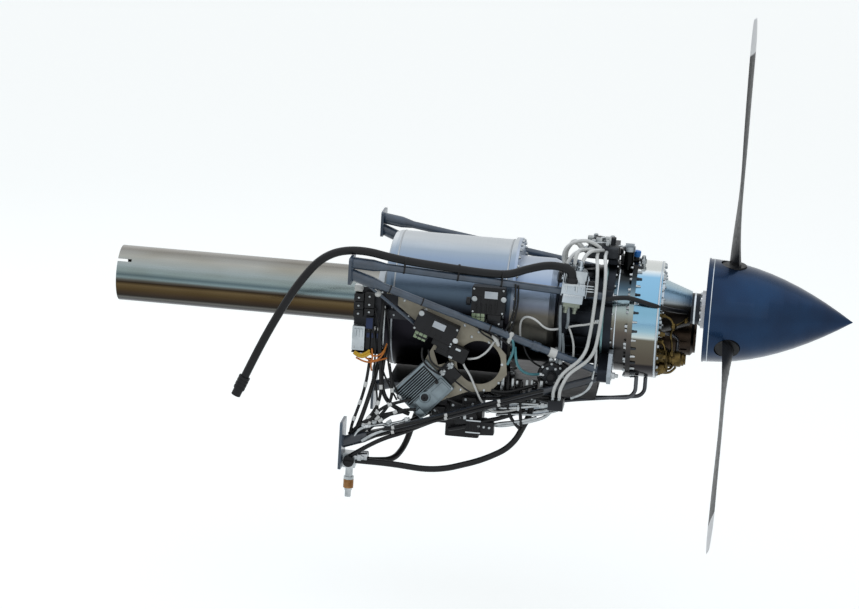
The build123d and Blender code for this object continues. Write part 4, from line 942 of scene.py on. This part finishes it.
# %% [markdown]
# ## Terminal box
# A cast box sits in a polished saddle on the upper strut. The saddle is two cheeks and a
# front plate with a small shelf. The thick cable arches over and comes down on the shelf
# through a moulded elbow and a gland; the port in the side of the box is plugged.

# %% Saddle, gland and lower block
terminal = strut_pose(640)
bm = bmesh.new()
for end in (-1, 1):
    casing_block(bm, (36 * end, -2, 26), (3, 54, 66), edge=1.0, pose=terminal)
    lathe(bm, [(0, 7), (3, 7), (4, 5)], (37.5 * end, -14, 44), (end, 0, 0), 20, pose=terminal)
casing_block(bm, (0, -26, 16), (72, 3, 34), edge=1.0, pose=terminal)
casing_block(bm, (0, -25, -14), (60, 3, 26), edge=1.0, pose=terminal)
for x in (-24, 24):
    screw(bm, x, 20, terminal, 4.5, 27.5)
lathe(bm, [(0, 9), (10, 9), (12, 7), (26, 7), (28, 5)], (10, -6, 69), UP, 24, pose=terminal)
lathe(bm, [(0, 7), (8, 7), (10, 5), (18, 5)], (-18, 4, 69), UP, 6, pose=terminal)
piece_from(bm, "terminal_saddle", "polished_aluminium_ring")
bm = bmesh.new()
casing_block(bm, (0, -8, -28), (50, 34, 24), edge=3, pose=terminal)
for x in (-12, 14):
    lathe(bm, [(0, 9), (8, 9), (10, 6), (20, 6)], (x, -8, -40), DOWN, 6, pose=terminal)
piece_from(bm, "terminal_lower_block", "grey_green_cast_block")
bm = bmesh.new()
lathe(bm, [(0, 18), (8, 18), (10, 16), (14, 16), (16, 14)], (-33, 0, 42), AFT, 32, pose=terminal)
lathe(bm, [(0, 15), (2, 17.5), (9, 17.5), (11, 15.5), (17, 14)], (631, -226, 250.5), UP, 32)
lathe(bm, [(0, 0), (0, 13.2), (4, 14.2), (14, 14.2), (17, 13)], (603, -226, 294.2), (1, 0, -0.2),
      28)
piece_from(bm, "cable_gland", "black_moulded_casing")
tube_set("cable_elbow_boot", [
    [(610, -226, 292.6), (624, -226, 289), (631, -226, 276), (631, -226, 256)],
], 13.2, "black_hose_rubber")
bm = bmesh.new()
casing_block(bm, (631, -224, 247), (44, 28, 7), edge=1.5)
for x in (616, 646):
    casing_block(bm, (x, -219, 235), (5, 18, 24), edge=1.0)
piece_from(bm, "cable_shelf", "silver_cast_box")
print("Terminal box at mm:", [round(v * 1000) for v in terminal.translation])

# %% [markdown]
# ## Harness bracket
# At the rear edge of the side plate a small bracket carries relays, a silver block and
# the ends of the wire harness. The solids come from the CAD; this cell adds the screws,
# the navy relay cover, a white plug and the pale edge strip.

# %% Details on the harness bracket
PLUG_COLUMNS = (52, 67, 82)
bm = bmesh.new()
for x, y, z in ((20, -263, 161), (20, -263, 137), (20, -263, 113), (51, -261, 166),
                (51, -261, 142), (51, -259, 119), (12, -261, 12), (36, -261, 12), (84, -235, 176),
                (122, -235, 176), (112, -235, 20), (150, -235, 157)):
    screw(bm, x, z, STILL, 3.2, -y)
casing_block(bm, (93, -237.5, 72), (7, 5, 130), edge=1.0)
piece_from(bm, "harness_screws_and_strip", "zinc_plated_steel")
bm = bmesh.new()
casing_block(bm, (54.5, -263, 87), (20, 3, 32), edge=1.0)
for x in PLUG_COLUMNS:
    casing_block(bm, (x, -258, 50), (9, 3, 14), edge=0.8)
piece_from(bm, "navy_relay_cover", "navy_relay_cover")
bm = bmesh.new()
casing_block(bm, (17, -247, 187), (24, 23, 19), edge=2)
casing_block(bm, (17, -260, 187), (16, 5, 11), edge=1)
for x in PLUG_COLUMNS:
    casing_block(bm, (x, -246, 69), (10, 16, 10), edge=1.5)
piece_from(bm, "white_harness_plugs", "white_connector_plastic")
tube_set("yellow_wires", [
    [(16, -262, -2), (30, -270, -8), (46, -268, -6), (60, -262, 6)],
    [(14, -262, -6), (30, -272, -14), (50, -272, -12), (62, -264, -2)],
], 4.0, "yellow_wire_sleeve")
tube_set("orange_wires", [
    [(58, -262, -2), (74, -272, -10), (92, -268, -4), (104, -256, 10), (106, -240, 24)],
    [(50, -266, -16), (70, -274, -24), (90, -270, -16), (102, -258, 2), (104, -240, 14)],
    [(66, -262, 12), (72, -272, -12), (66, -276, -34), (70, -270, -52)],
    [(22, -266, -18), (44, -276, -26), (70, -276, -26), (92, -268, -18), (112, -250, -16)],
], 2.6, "orange_wire_sleeve")
print("Pieces so far:", len(DRESSING))

# %% [markdown]
# ## Tubes and hoses that the engine holds
# These lines are clipped down along their whole length, so they are part of the engine
# and not free cords. Each is a NURBS spline through a few given points, and a set
# of lines with one radius and one finish is one piece.

# %% White, grey and teal tubes
tube_set("white_plastic_tubes", [
    [(326, -244, 18), (332, -248, -14), (354, -244, -42), (374, -242, -85), (394, -236, -128),
     (422, -222, -156), (458, -212, -158), (500, -206, -146)],
    [(346, -236, 0), (364, -246, 4), (382, -248, 12), (408, -246, 36), (420, -244, 62)],
    [(630, -178, 104), (645, -182, 72), (649, -184, 30), (646, -180, -10), (628, -168, -30)],
    [(606, -180, 102), (590, -200, 100), (562, -216, 106), (536, -218, 130), (508, -214, 138),
     (490, -206, 124), (488, -200, 88), (490, -180, 62)],
    [(624, -178, 106), (650, -186, 116), (685, -182, 120), (712, -168, 128)],
], 3.2, "white_tube_plastic")
tube_set("arched_white_hoses", [
    [(597, -64, 218), (597, -64, 262), (589, -63, 292), (600, -61, 324), (636, -59, 342),
     (676, -56, 340), (702, -51, 318)],
    [(634, -190, 283), (633, -192, 318), (643, -180, 341), (654, -140, 332), (664, -96, 323),
     (676, -54, 318)],
    [(652, -188, 283), (653, -180, 308), (672, -140, 331), (694, -90, 323), (706, -52, 316)],
    [(597, -89, 198), (597, -108, 217), (602, -118, 262), (614, -106, 300), (640, -80, 318),
     (666, -54, 316)],
], 5.5, "white_tube_plastic")
tube_set("grey_conduits", [
    [(603, -204, 176), (602, -200, 140), (606, -190, 88), (608, -182, 40), (600, -172, -4)],
    [(624, -202, 176), (626, -198, 150), (626, -186, 120), (622, -178, 104)],
    [(612, -190, 88), (616, -180, 60), (618, -172, 20), (612, -160, -4)],
], 4.6, "grey_tube_plastic")
tube_set("teal_seal_tubes", [
    [(468, -240, 84), (476, -244, 62), (478, -242, 40), (470, -240, 14), (462, -236, -6)],
    [(481, -234, 48), (484, -238, 20), (490, -232, -6), (506, -222, -28), (534, -204, -40),
     (556, -176, -42)],
], 4.0, "teal_tube_plastic")
print("Pieces so far:", len(DRESSING))

# %% [markdown]
# ## Black harness
# The black lines come in several thicknesses: thin wires from box to box, a thick
# conduit to the nose, hoses along the edge of the tray, and the branches that run down to
# the lower foot. The branches and the hoses on the lower strut carry pale marker sleeves.

# %% Black harness
tube_set("thin_black_wires", [
    [(470, -238, 236), (474, -244, 196), (470, -246, 150), (458, -246, 112), (440, -240, 76)],
    [(478, -236, 232), (482, -242, 196), (478, -244, 150), (468, -244, 108), (452, -240, 64)],
    [(372, -242, 118), (370, -250, 100), (384, -256, 84), (412, -252, 70), (440, -246, 52)],
    [(392, -242, 120), (396, -252, 98), (420, -256, 82), (450, -248, 66), (478, -240, 42)],
    [(214, -262, 28), (212, -268, 6), (226, -270, -20), (252, -262, -40), (270, -250, -52)],
    [(232, -262, 24), (236, -270, 0), (252, -268, -20), (280, -256, -34), (302, -246, -22)],
    [(96, -240, 130), (110, -250, 90), (116, -252, 40), (112, -252, -20), (128, -256, -80),
     (152, -262, -120)],
    [(60, -252, 96), (72, -262, 50), (78, -266, 0), (76, -268, -60), (92, -276, -120),
     (100, -292, -190)],
    [(66, -250, 130), (84, -262, 80), (92, -264, 20), (96, -262, -40), (120, -262, -90),
     (148, -262, -136)],
    [(292, -256, -120), (320, -262, -128), (352, -252, -140), (380, -234, -150),
     (396, -198, -152)],
    [(262, -262, -150), (286, -268, -172), (318, -256, -180), (340, -230, -176),
     (352, -198, -170)],
    [(300, -240, -60), (322, -250, -72), (350, -248, -92), (376, -240, -104), (398, -236, -96)],
    [(556, -176, -20), (540, -196, -8), (520, -214, 14), (506, -224, 44), (498, -222, 74)],
], 2.8, "black_hose_rubber")
tube_set("thick_sensor_conduit", [
    [(724, -192, 203), (740, -192, 205), (768, -188, 210), (800, -176, 210), (866, -163, 190),
     (912, -132, 174), (950, -84, 160), (966, -50, 152)],
], 7.0, "black_hose_rubber")
tube_set("black_conduits", [
    [(86, -236, 166), (92, -256, 150), (90, -260, 90), (84, -260, 30), (92, -262, -30)],
    [(420, -236, -88), (452, -228, -96), (500, -212, -86), (548, -190, -70)],
    [(395, -150, -130), (430, -168, -118), (478, -180, -110), (540, -186, -112),
     (590, -200, -114)],
], 5.0, "black_hose_rubber")
tube_set("tray_edge_hoses", [
    [(463, -190, -40), (465, -206, -70), (466, -208, -110), (470, -208, -150), (486, -206, -186),
     (508, -202, -206)],
    [(503, -190, -66), (504, -206, -100), (506, -208, -154), (512, -204, -198)],
    [(414, -200, -98), (440, -207, -106), (486, -209, -104), (540, -207, -100), (606, -198, -106)],
    [(360, -200, -130), (414, -210, -120), (470, -212, -117), (524, -206, -120)],
], 5.0, "black_hose_rubber")
print("Pieces so far:", len(DRESSING))

# %% Pipes at the tray, harness branches and their sleeves
tube_set("tray_edge_pipes", [
    [(424, -196, -138), (440, -204, -133), (500, -206, -128), (560, -206, -126),
     (606, -198, -122)],
    [(436, -196, -172), (460, -204, -166), (510, -206, -160), (566, -204, -160),
     (616, -196, -142)],
], 3.6, "zinc_plated_steel")
HARNESS_BRANCHES = [
    [(62, -262, -16), (60, -276, -66), (52, -292, -118), (38, -302, -168), (24, -308, -214),
     (22, -308, -244)],
    [(92, -258, -22), (98, -274, -74), (104, -286, -120), (90, -298, -164), (58, -306, -206),
     (30, -310, -248)],
    [(118, -254, -30), (132, -270, -84), (136, -282, -126), (118, -294, -166), (78, -304, -204),
     (40, -312, -240)],
    [(204, -262, -160), (168, -280, -158), (128, -292, -176), (88, -302, -208), (48, -312, -250),
     (24, -314, -262)],
    [(188, -266, -130), (150, -282, -138), (112, -296, -152), (82, -304, -184), (72, -308, -216),
     (40, -312, -256)],
]
tube_set("harness_branch_hoses", HARNESS_BRANCHES, 4.6, "black_hose_rubber")


def sleeves_on(starts, ends, shares):
    """Short lengths of sleeve, each given by three shares of a span of its line."""
    return [[tuple(Vector(start).lerp(Vector(end), share)) for share in shares]
            for start, end in zip(starts, ends)]


LOWER_START, LOWER_END = Vector((8, -318, -260)), Vector((722, -191, -36))
STRUT_RUNS = [
    [tuple(LOWER_START.lerp(LOWER_END, percent / 100)
           + Vector((0, -13.6, rise + 1.6 * math.sin(percent / 9 + lean))))
     for percent in range(9, 80, 7)]
    for rise, lean in ((7.5, 0.0), (-3.5, 2.2))]
sleeves = []
for route in HARNESS_BRANCHES:
    sleeves += sleeves_on(route[1:4], route[2:5], (0.36, 0.5, 0.64))
for route in STRUT_RUNS:
    sleeves += sleeves_on(route[1::3], route[2::3], (0.40, 0.48, 0.56))
tube_set("lower_strut_hoses", STRUT_RUNS, 4.2, "black_hose_rubber")
tube_set("pale_marker_sleeves", sleeves, 5.6, "white_tube_plastic")
tube_set("lower_black_hoses", [
    [(20, -300, -262), (52, -304, -236), (102, -292, -226), (160, -262, -214), (206, -228, -196),
     (240, -196, -180)],
    [(26, -330, -300), (70, -334, -268), (122, -316, -240), (176, -286, -226), (216, -246, -214),
     (250, -192, -210)],
    [(20, -306, -240), (48, -310, -208), (84, -302, -186), (128, -280, -176), (170, -262, -168)],
    [(90, -240, -4), (84, -254, -44), (74, -270, -100), (60, -294, -160), (44, -308, -214),
     (30, -306, -246)],
    [(104, -238, 14), (100, -252, -30), (98, -262, -80), (112, -272, -130), (146, -268, -160),
     (186, -258, -176)],
    [(300, -204, -226), (340, -216, -214), (400, -214, -190), (460, -206, -176),
     (520, -190, -150)],
], 6.5, "black_hose_rubber")
print("Pieces so far:", len(DRESSING))

# %% [markdown]
# ## Metal pipes
# Oil and fuel run in rigid pipes: plain steel below the core, and golden passivated ones
# in front of the ring. They are bent tube, so they take wider bends than the hoses.

# %% Steel and golden pipes
tube_set("steel_pipes", [
    [(395, -186, -150), (432, -204, -151), (480, -208, -143), (538, -204, -135),
     (580, -204, -124)],
    [(395, -172, -198), (431, -200, -207), (481, -202, -197), (546, -200, -180), (592, -196, -160),
     (604, -192, -130)],
    [(395, -140, -176), (440, -150, -178), (520, -156, -166), (592, -170, -148),
     (620, -180, -130)],
    [(712, -184, 60), (716, -196, 30), (712, -200, -40), (690, -198, -86), (650, -196, -100)],
    [(30, -318, -262), (36, -322, -232), (60, -316, -212), (96, -300, -206), (140, -280, -206),
     (180, -262, -196)],
    [(60, -330, -250), (92, -326, -226), (140, -300, -214), (196, -262, -204)],
    [(396, -196, -214), (440, -204, -196), (500, -206, -186), (556, -200, -168)],
], 5.0, "zinc_plated_steel")
tube_set("golden_pipes", [
    [(888, -122, 152), (908, -124, 152), (926, -124, 140), (930, -120, 118), (922, -116, 94),
     (930, -104, 68), (930, -90, 34)],
    [(930, -118, 120), (946, -108, 128), (962, -84, 132), (966, -62, 138)],
    [(888, -112, 72), (904, -114, 70), (912, -114, 44), (912, -112, 18), (920, -106, -14),
     (934, -92, -10), (936, -84, 0)],
    [(888, -60, -34), (912, -62, -36), (934, -64, -30), (944, -64, -14)],
], 3.8, "gold_passivated_steel")
print("Pieces so far:", len(DRESSING))

# %% [markdown]
# ## Unions, ferrules and fittings
# Wherever a line ends there is a nut, a crimped ferrule or a union. A table gives the
# place, the direction and the size of each, and one function turns the shape: a hexagon
# between two round collars.

# %% Steel unions


def union(bm, place, direction, size, length):
    """Hexagon nut between two round collars, in mm."""
    lathe(bm, [(0, size * 0.72), (length * 0.25, size * 0.72)], place, direction, 20)
    lathe(bm, [(length * 0.25, size * 0.9), (length * 0.28, size), (length * 0.68, size),
               (length * 0.71, size * 0.9)], place, direction, 6)
    lathe(bm, [(length * 0.71, size * 0.7), (length, size * 0.62)], place, direction, 20)


STEEL_UNIONS = [
    ((395, -186, -150), (1, -0.3, 0), 9, 20), ((395, -172, -198), (1, -0.5, 0), 9, 20),
    ((395, -140, -176), FORE, 9, 20), ((560, -206, -130), (1, 0, 0.2), 9, 24),
    ((604, -194, -148), UP, 9, 20), ((500, -206, -150), UP, 8, 18),
    ((268, -244, -54), (0.62, 0, 0.7), 9, 22), ((290, -246, -30), (0.62, 0, 0.7), 10, 22),
    ((583, -158, -12), UP, 10, 24), ((606, -166, -14), (0.2, 0, 1), 9, 24),
    ((548, -178, -44), FORE, 8, 18), ((618, -160, -44), AFT, 8, 18),
    ((598, -170, 24), UP, 8, 18), ((720, -166, 128), AFT, 7, 18),
    ((597, -64, 216), UP, 10, 24), ((597, -88, 197), (0, -0.71, 0.7), 10, 22),
    ((716, -40, 326), UP, 9, 18), ((668, -56, 318), OUTBOARD, 9, 16),
    ((826, -40, 277), (0, -0.2, 1), 9, 32), ((150, -262, -120), (0.6, 0, -0.8), 7, 18),
    ((34, -320, -264), UP, 9, 22), ((170, -266, -198), (0.8, 0.3, 0.3), 9, 22),
    ((100, -290, -190), (0.5, 0.3, -0.7), 7, 20), ((60, -316, -212), (0.9, 0.3, 0.1), 9, 22),
    ((118, -292, -208), (0.9, 0.4, 0), 9, 24), ((44, -332, -300), FORE, 10, 26),
    ((44, -308, -300), FORE, 10, 26), ((236, -190, -184), FORE, 11, 24),
    ((500, -178, -140), UP, 11, 26), ((601, -235, -112), UP, 7, 20),
    ((619, -235, -112), UP, 7, 20), ((648, -44, 310), FORE, 9, 13),
    ((648, -16, 310), FORE, 9, 13), ((634, -190, 281), UP, 9, 20),
    ((652, -188, 281), UP, 9, 18),
]
bm = bmesh.new()
for place, direction, size, length in STEEL_UNIONS:
    union(bm, place, direction, size, length)
piece_from(bm, "steel_unions", "zinc_plated_steel")
print("Steel unions:", len(STEEL_UNIONS))

# %% Golden unions
GOLD_UNIONS = [
    ((888, -122, 152), FORE, 8, 16), ((930, -119, 132), DOWN, 9, 22),
    ((888, -112, 72), FORE, 8, 16), ((930, -92, 44), (0, 0.1, -1), 8, 18),
    ((962, -88, 131), (0.3, 1, 0.3), 7, 18), ((888, -60, -34), FORE, 10, 18),
    ((936, -84, -4), (0, 0.3, 1), 8, 16), ((888, -96, -14), FORE, 15, 34),
    ((888, -136, 100), FORE, 9, 20), ((888, -126, 30), FORE, 10, 26),
    ((888, 0, -20), FORE, 12, 26), ((888, 40, -30), FORE, 9, 20),
]
bm = bmesh.new()
for place, direction, size, length in GOLD_UNIONS:
    union(bm, place, direction, size, length)
lathe(bm, [(0, 26), (3, 27), (9, 27), (12, 24)], (920, -64, 12), FORE, 40)
lathe(bm, [(0, 20), (6, 20), (8, 16), (12, 16)], (960, -64, 12), FORE, 32)
piece_from(bm, "golden_unions", "gold_passivated_steel")
print("Golden unions:", len(GOLD_UNIONS))

# %% [markdown]
# ## Connectors and pump face
# Three white connectors have the outline of a small bottle, so one outline is turned for
# all. The round pump is held by a clamp band, and its face is bolted in two circles.

# %% White bottle connectors and pump face
bm = bmesh.new()
for place, direction in (((325, -245, 30), (0.05, 0, -1)), ((416, -246, 82), (0.5, 0, -0.86)),
                         ((470, -240, 92), (-0.3, 0, -1))):
    lathe(bm, [(0, 5), (4, 8), (20, 8.5), (24, 6), (34, 5.5), (38, 4)], place, direction, 20)
piece_from(bm, "white_bottle_connectors", "white_connector_plastic")
pump_low, pump_high = low_corner("fuel_pump"), high_corner("fuel_pump")
pump_x = (pump_low.x + pump_high.x) / 2
pump_z = pump_high.z - 33
bm = bmesh.new()
lathe(bm, [(0, 32), (0, 39), (3, 41), (9, 41), (12, 38), (12, 32)], (pump_x, -168, pump_z),
      OUTBOARD, 40, True)
lathe(bm, [(0, 12), (10, 12), (12, 10)], (pump_x, -184, pump_z), OUTBOARD, 24)
casing_block(bm, (pump_x + 34, -160, pump_z + 22), (20, 20, 26), 30, 2)
piece_from(bm, "pump_clamp", "black_moulded_casing")
bolt_piece("pump_face_bolts", [(6, 24, 3.2, 4, (pump_x, -175, pump_z), OUTBOARD),
                               (8, 36.5, 3.0, 4, (pump_x, -180, pump_z), OUTBOARD)],
           "zinc_plated_steel")
print("Pieces so far:", len(DRESSING))

# %% [markdown]
# ## Clutter below the core
# Under the drum hang small black modules, each with plates and pins, between the silver
# pipes. They are bevelled blocks in two finishes.

# %% Modules on the metering unit
face_y = low_corner("fuel_control_unit").y
bm = bmesh.new()
for x, z, wide, tall in ((270, -134, 44, 30), (268, -172, 38, 34), (322, -152, 40, 26),
                         (372, -206, 40, 36), (356, -132, 40, 24)):
    casing_block(bm, (x, face_y - 8, z), (wide, 20, tall), edge=2)
for k in range(5):
    casing_block(bm, (356 + 8 * k, face_y - 19, -206), (3, 4, 28), edge=0.8)
casing_block(bm, (512, -150, -118), (96, 44, 34), edge=4)
lathe(bm, [(0, 20), (52, 20), (56, 17), (60, 17)], (444, -176, -116), FORE, 32)
# The two blocks turned by 20 degrees beside the lower box, at (300, -244, 22) and (272, -252, 28),
# stand for its connectors and are partly painted shade: they fill the dark region below it.
for centre, size, tilt, edge in (
        ((684, -201, 232), (30, 20, 44), 0, 2), ((300, -244, 22), (92, 22, 46), 20, 4),
        ((272, -252, 28), (34, 14, 24), 20, 2), ((296, -238, -46), (44, 12, 58), -48, 3),
        ((494, -172, -96), (20, 26, 60), 0, 3), ((540, -168, -92), (18, 26, 52), 0, 3),
        ((348, -206, -186), (66, 26, 34), -8, 3), ((404, -206, -212), (58, 30, 40), -4, 3),
        ((452, -196, -150), (34, 26, 30), -12, 3)):
    casing_block(bm, centre, size, tilt, edge)
piece_from(bm, "metering_modules", "black_moulded_casing")
print("Face of the metering unit at y", round(face_y), "mm")

# %% [markdown]
# ## Bright parts of the clutter
# Clips, pins, plates and nuts stand out bright on the black modules. They make the black
# mass read as many parts, so they are placed one by one where the photograph shows them.

# %% Clips, plates and nuts
bm = bmesh.new()
for x, z, wide, tall in ((490, -76, 7, 20), (498, -104, 9, 12), (540, -74, 7, 18),
                         (536, -100, 10, 9)):
    casing_block(bm, (x, -184, z), (wide, 6, tall), edge=1.2)
for x, wide in ((448, 10), (478, 7), (520, 8), (534, 6), (562, 9)):
    casing_block(bm, (x, -194, -78), (wide, 9, 42), edge=1.2)
for x, z in ((330, -180), (346, -182), (366, -186)):
    casing_block(bm, (x, -219, z), (9, 3, 12), -8, 1)
for x, z in ((388, -204), (404, -205), (420, -206)):
    lathe(bm, [(0, 4), (5, 4), (6, 3)], (x, -220, z), OUTBOARD, 12)
for x, y, z, turn in ((60, -306, -206, -20), (90, -300, -196, 10), (132, -292, -196, -35),
                      (58, -300, -234, 30)):
    casing_block(bm, (x, y, z), (16, 12, 9), turn, 1.5)
    lathe(bm, [(0, 6), (5, 6), (6, 4), (12, 4)], (x, y - 4, z), OUTBOARD, 6)
piece_from(bm, "bright_clips_and_unions", "zinc_plated_steel")
bm = bmesh.new()
for z in (-188, -224):
    casing_block(bm, (373, face_y - 19.5, z), (44, 3, 4), edge=0.8)
for x, z in ((258, -128), (282, -128), (258, -166), (278, -178), (310, -146), (334, -158),
             (346, -126), (368, -138)):
    lathe(bm, [(0, 4.2), (3, 4.2), (4, 3)], (x, face_y - 18, z), OUTBOARD, 6)
for z in (226, 234, 242):
    casing_block(bm, (684, -212, z), (24, 3, 3.6), edge=0.8)
for x, z, wide in ((278, 46, 14), (292, 40, 10), (318, 30, 16), (296, 6, 12)):
    casing_block(bm, (x, -257, z), (wide, 5, 7), 20, 1.2)
piece_from(bm, "metering_plates_and_nuts", "silver_cast_box")
bm = bmesh.new()
for place, direction in (((52, -304, -299), FORE), ((52, -321, -299), FORE),
                         ((212, -168, -184), FORE), ((536, -178, -128), UP)):
    lathe(bm, [(0, 9.3), (0, 12), (3, 12.6), (24, 12.6), (27, 12), (27, 9.3)], place, direction,
          28, True)
piece_from(bm, "hose_ferrules", "zinc_plated_steel")
print("Pieces so far:", len(DRESSING))

# %% [markdown]
# ## Top of the engine
# The manifold carries a row of valves and elbows, a blue transit cap closes an unused
# port, and the oil filler stands beside it.

# %% Valves, elbows and the blue cap
manifold_top = high_corner("top_manifold").z
bm = bmesh.new()
for x, y in ((676, -42), (700, 6), (726, 34), (676, 44)):
    lathe(bm, [(0, 9), (6, 9), (8, 7), (22, 7), (24, 5)], (x, y, manifold_top - 26), UP, 20)
for x, y in ((664, -6), (690, -30), (716, -6)):
    casing_block(bm, (x, y, manifold_top - 11), (18, 18, 24), edge=1.5)
piece_from(bm, "manifold_valves", "zinc_plated_steel")
bm = bmesh.new()
for x, y, tall in ((744, -26, 34), (736, 8, 26), (752, 30, 20)):
    casing_block(bm, (x, y, 288 + tall / 2), (20, 18, tall), edge=2)
casing_block(bm, (770, -8, 286), (26, 30, 26), edge=2)
lathe(bm, [(0, 11), (20, 11), (22, 9), (32, 9)], (800, -10, 266), (0.1, 0, 1), 24)
piece_from(bm, "manifold_solenoids", "black_moulded_casing")
bm = bmesh.new()
lathe(bm, [(0, 10), (2, 11), (16, 11), (18, 9.5), (18, 4)], (803, -10, 297), (0.1, 0, 1), 24)
piece_from(bm, "blue_port_cap", "blue_transit_cap")
tube_set("top_elbow_lines", [
    [(676, -42, 318), (676, -46, 334), (694, -44, 337), (716, -30, 332), (726, -10, 320)],
    [(744, -26, 314), (746, -30, 328), (762, -34, 329), (776, -38, 322), (782, -40, 312)],
    [(700, 6, 318), (702, 0, 334), (722, -6, 336), (740, -2, 328), (738, 4, 308)],
], 3.6, "zinc_plated_steel")
print("Pieces in all:", len(DRESSING))

# %% [markdown]
# ## Floor
# A plain pale floor lies below the propeller's sweep and reaches back to the horizon. It
# looks white to the camera and to reflections, while the lamps stay at the level at which
# a colour looks as it is written.

# %% Floor
FLOOR_HEIGHT = -0.80


def seen_rays(tree):
    """1 for the rays of the camera, of reflections and through glass, 0 for light rays."""
    path = add(tree, "ShaderNodeLightPath").outputs
    shiny = add(tree, "ShaderNodeMath", {
        0: path["Is Glossy Ray"], 1: path["Is Transmission Ray"]}, operation="MAXIMUM")
    return add(tree, "ShaderNodeMath", {0: path["Is Camera Ray"], 1: shiny.outputs[0]},
               operation="MAXIMUM").outputs[0]


def pale_surface(name, colour, glow):
    """Matt paint with a glow that the camera and reflections see, and that lights nothing."""
    tree = start_finish(name)
    strength = add(tree, "ShaderNodeMath", {0: seen_rays(tree), 1: glow}, operation="MULTIPLY")
    shader = add(tree, "ShaderNodeBsdfPrincipled", {
        "Base Color": linear(colour), "Roughness": 0.9, "Emission Color": linear(colour),
        "Emission Strength": strength.outputs[0]})
    add(tree, "ShaderNodeOutputMaterial", {"Surface": shader.outputs[0]})
    return FINISH[name]


def stage_sheet(name, corners, material):
    mesh = bpy.data.meshes.new(name)
    mesh.from_pydata(corners, [], [tuple(range(len(corners)))])
    mesh.materials.append(material)
    sheet = bpy.data.objects.new(name, mesh)
    bpy.context.scene.collection.objects.link(sheet)


stage_sheet("studio_floor", [(-40, -40, FLOOR_HEIGHT), (40, -40, FLOOR_HEIGHT),
                             (40, 44, FLOOR_HEIGHT), (-40, 44, FLOOR_HEIGHT)],
            pale_surface("studio_floor_paint", "#D2D4D3", 0.95))
print("Floor height in m:", FLOOR_HEIGHT)

# %% [markdown]
# ## Lights
# Outdoors the sky is a huge soft lamp. A wide panel above, a fill near the camera and a
# rim panel behind do the same here. The world is plain, and it looks pale to reflections.

# %% Lights


def panel(name, place, target, size, watts, colour):
    """Soft rectangular lamp, in metres, turned to its target."""
    lamp = bpy.data.lights.new(name, "AREA")
    lamp.shape = "RECTANGLE"
    lamp.size, lamp.size_y = size
    lamp.energy = watts
    lamp.color = linear(colour)[:3]
    holder = bpy.data.objects.new(name, lamp)
    bpy.context.scene.collection.objects.link(holder)
    aim = (Vector(target) - Vector(place)).to_track_quat("-Z", "Y")
    holder.matrix_world = Matrix.Translation(place) @ aim.to_matrix().to_4x4()


panel("sky_panel", (0.2, -0.6, 3.4), (0.3, 0, 0.1), (8.0, 6.0), 66, "#EAF2FF")
panel("camera_fill", (2.4, -5.6, 2.2), (0.4, 0, 0.1), (5.0, 3.6), 18, "#FFF8EE")
panel("rear_rim", (-2.4, 3.0, 2.4), (0.2, 0, 0.1), (4.0, 3.0), 14, "#FFFFFF")

world = bpy.data.worlds.new("studio_air")
world.use_nodes = True
bpy.context.scene.world = world
air = world.node_tree
air.nodes.clear()
level_air = add(air, "ShaderNodeBackground", {"Color": linear("#D5DAE0"), "Strength": 0.63})
white_air = add(air, "ShaderNodeBackground", {"Color": linear("#F4F5F5"), "Strength": 1.0})
both = add(air, "ShaderNodeMixShader", {0: seen_rays(air), 1: level_air.outputs[0],
                                        2: white_air.outputs[0]})
add(air, "ShaderNodeOutputWorld", {"Surface": both.outputs[0]})
bpy.context.scene.view_settings.view_transform = "Standard"
print("Lamps:", len(bpy.data.lights))

# %% [markdown]
# ## Hand the cable to the frame
# The cable replaces its CAD tube and rides on the engine. Its length is measured here
# and printed.


def line_length(curve_object):
    """Length in metres of a curve object's middle line."""
    plain = curve_object.copy()
    plain.data = curve_object.data.copy()
    plain.data.bevel_depth = 0
    bpy.context.scene.collection.objects.link(plain)
    ready = plain.evaluated_get(bpy.context.evaluated_depsgraph_get())
    mesh = bpy.data.meshes.new_from_object(ready)
    length = sum((mesh.vertices[a].co - mesh.vertices[b].co).length
                 for a, b in (edge.vertices for edge in mesh.edges))
    bpy.data.objects.remove(plain)
    return length


cable.data.materials.append(FINISH["black_hose_rubber"])
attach(cable, "engine")
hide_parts("power_cable")
cable_length = line_length(cable)
print("Cable length in m:", round(cable_length, 3))
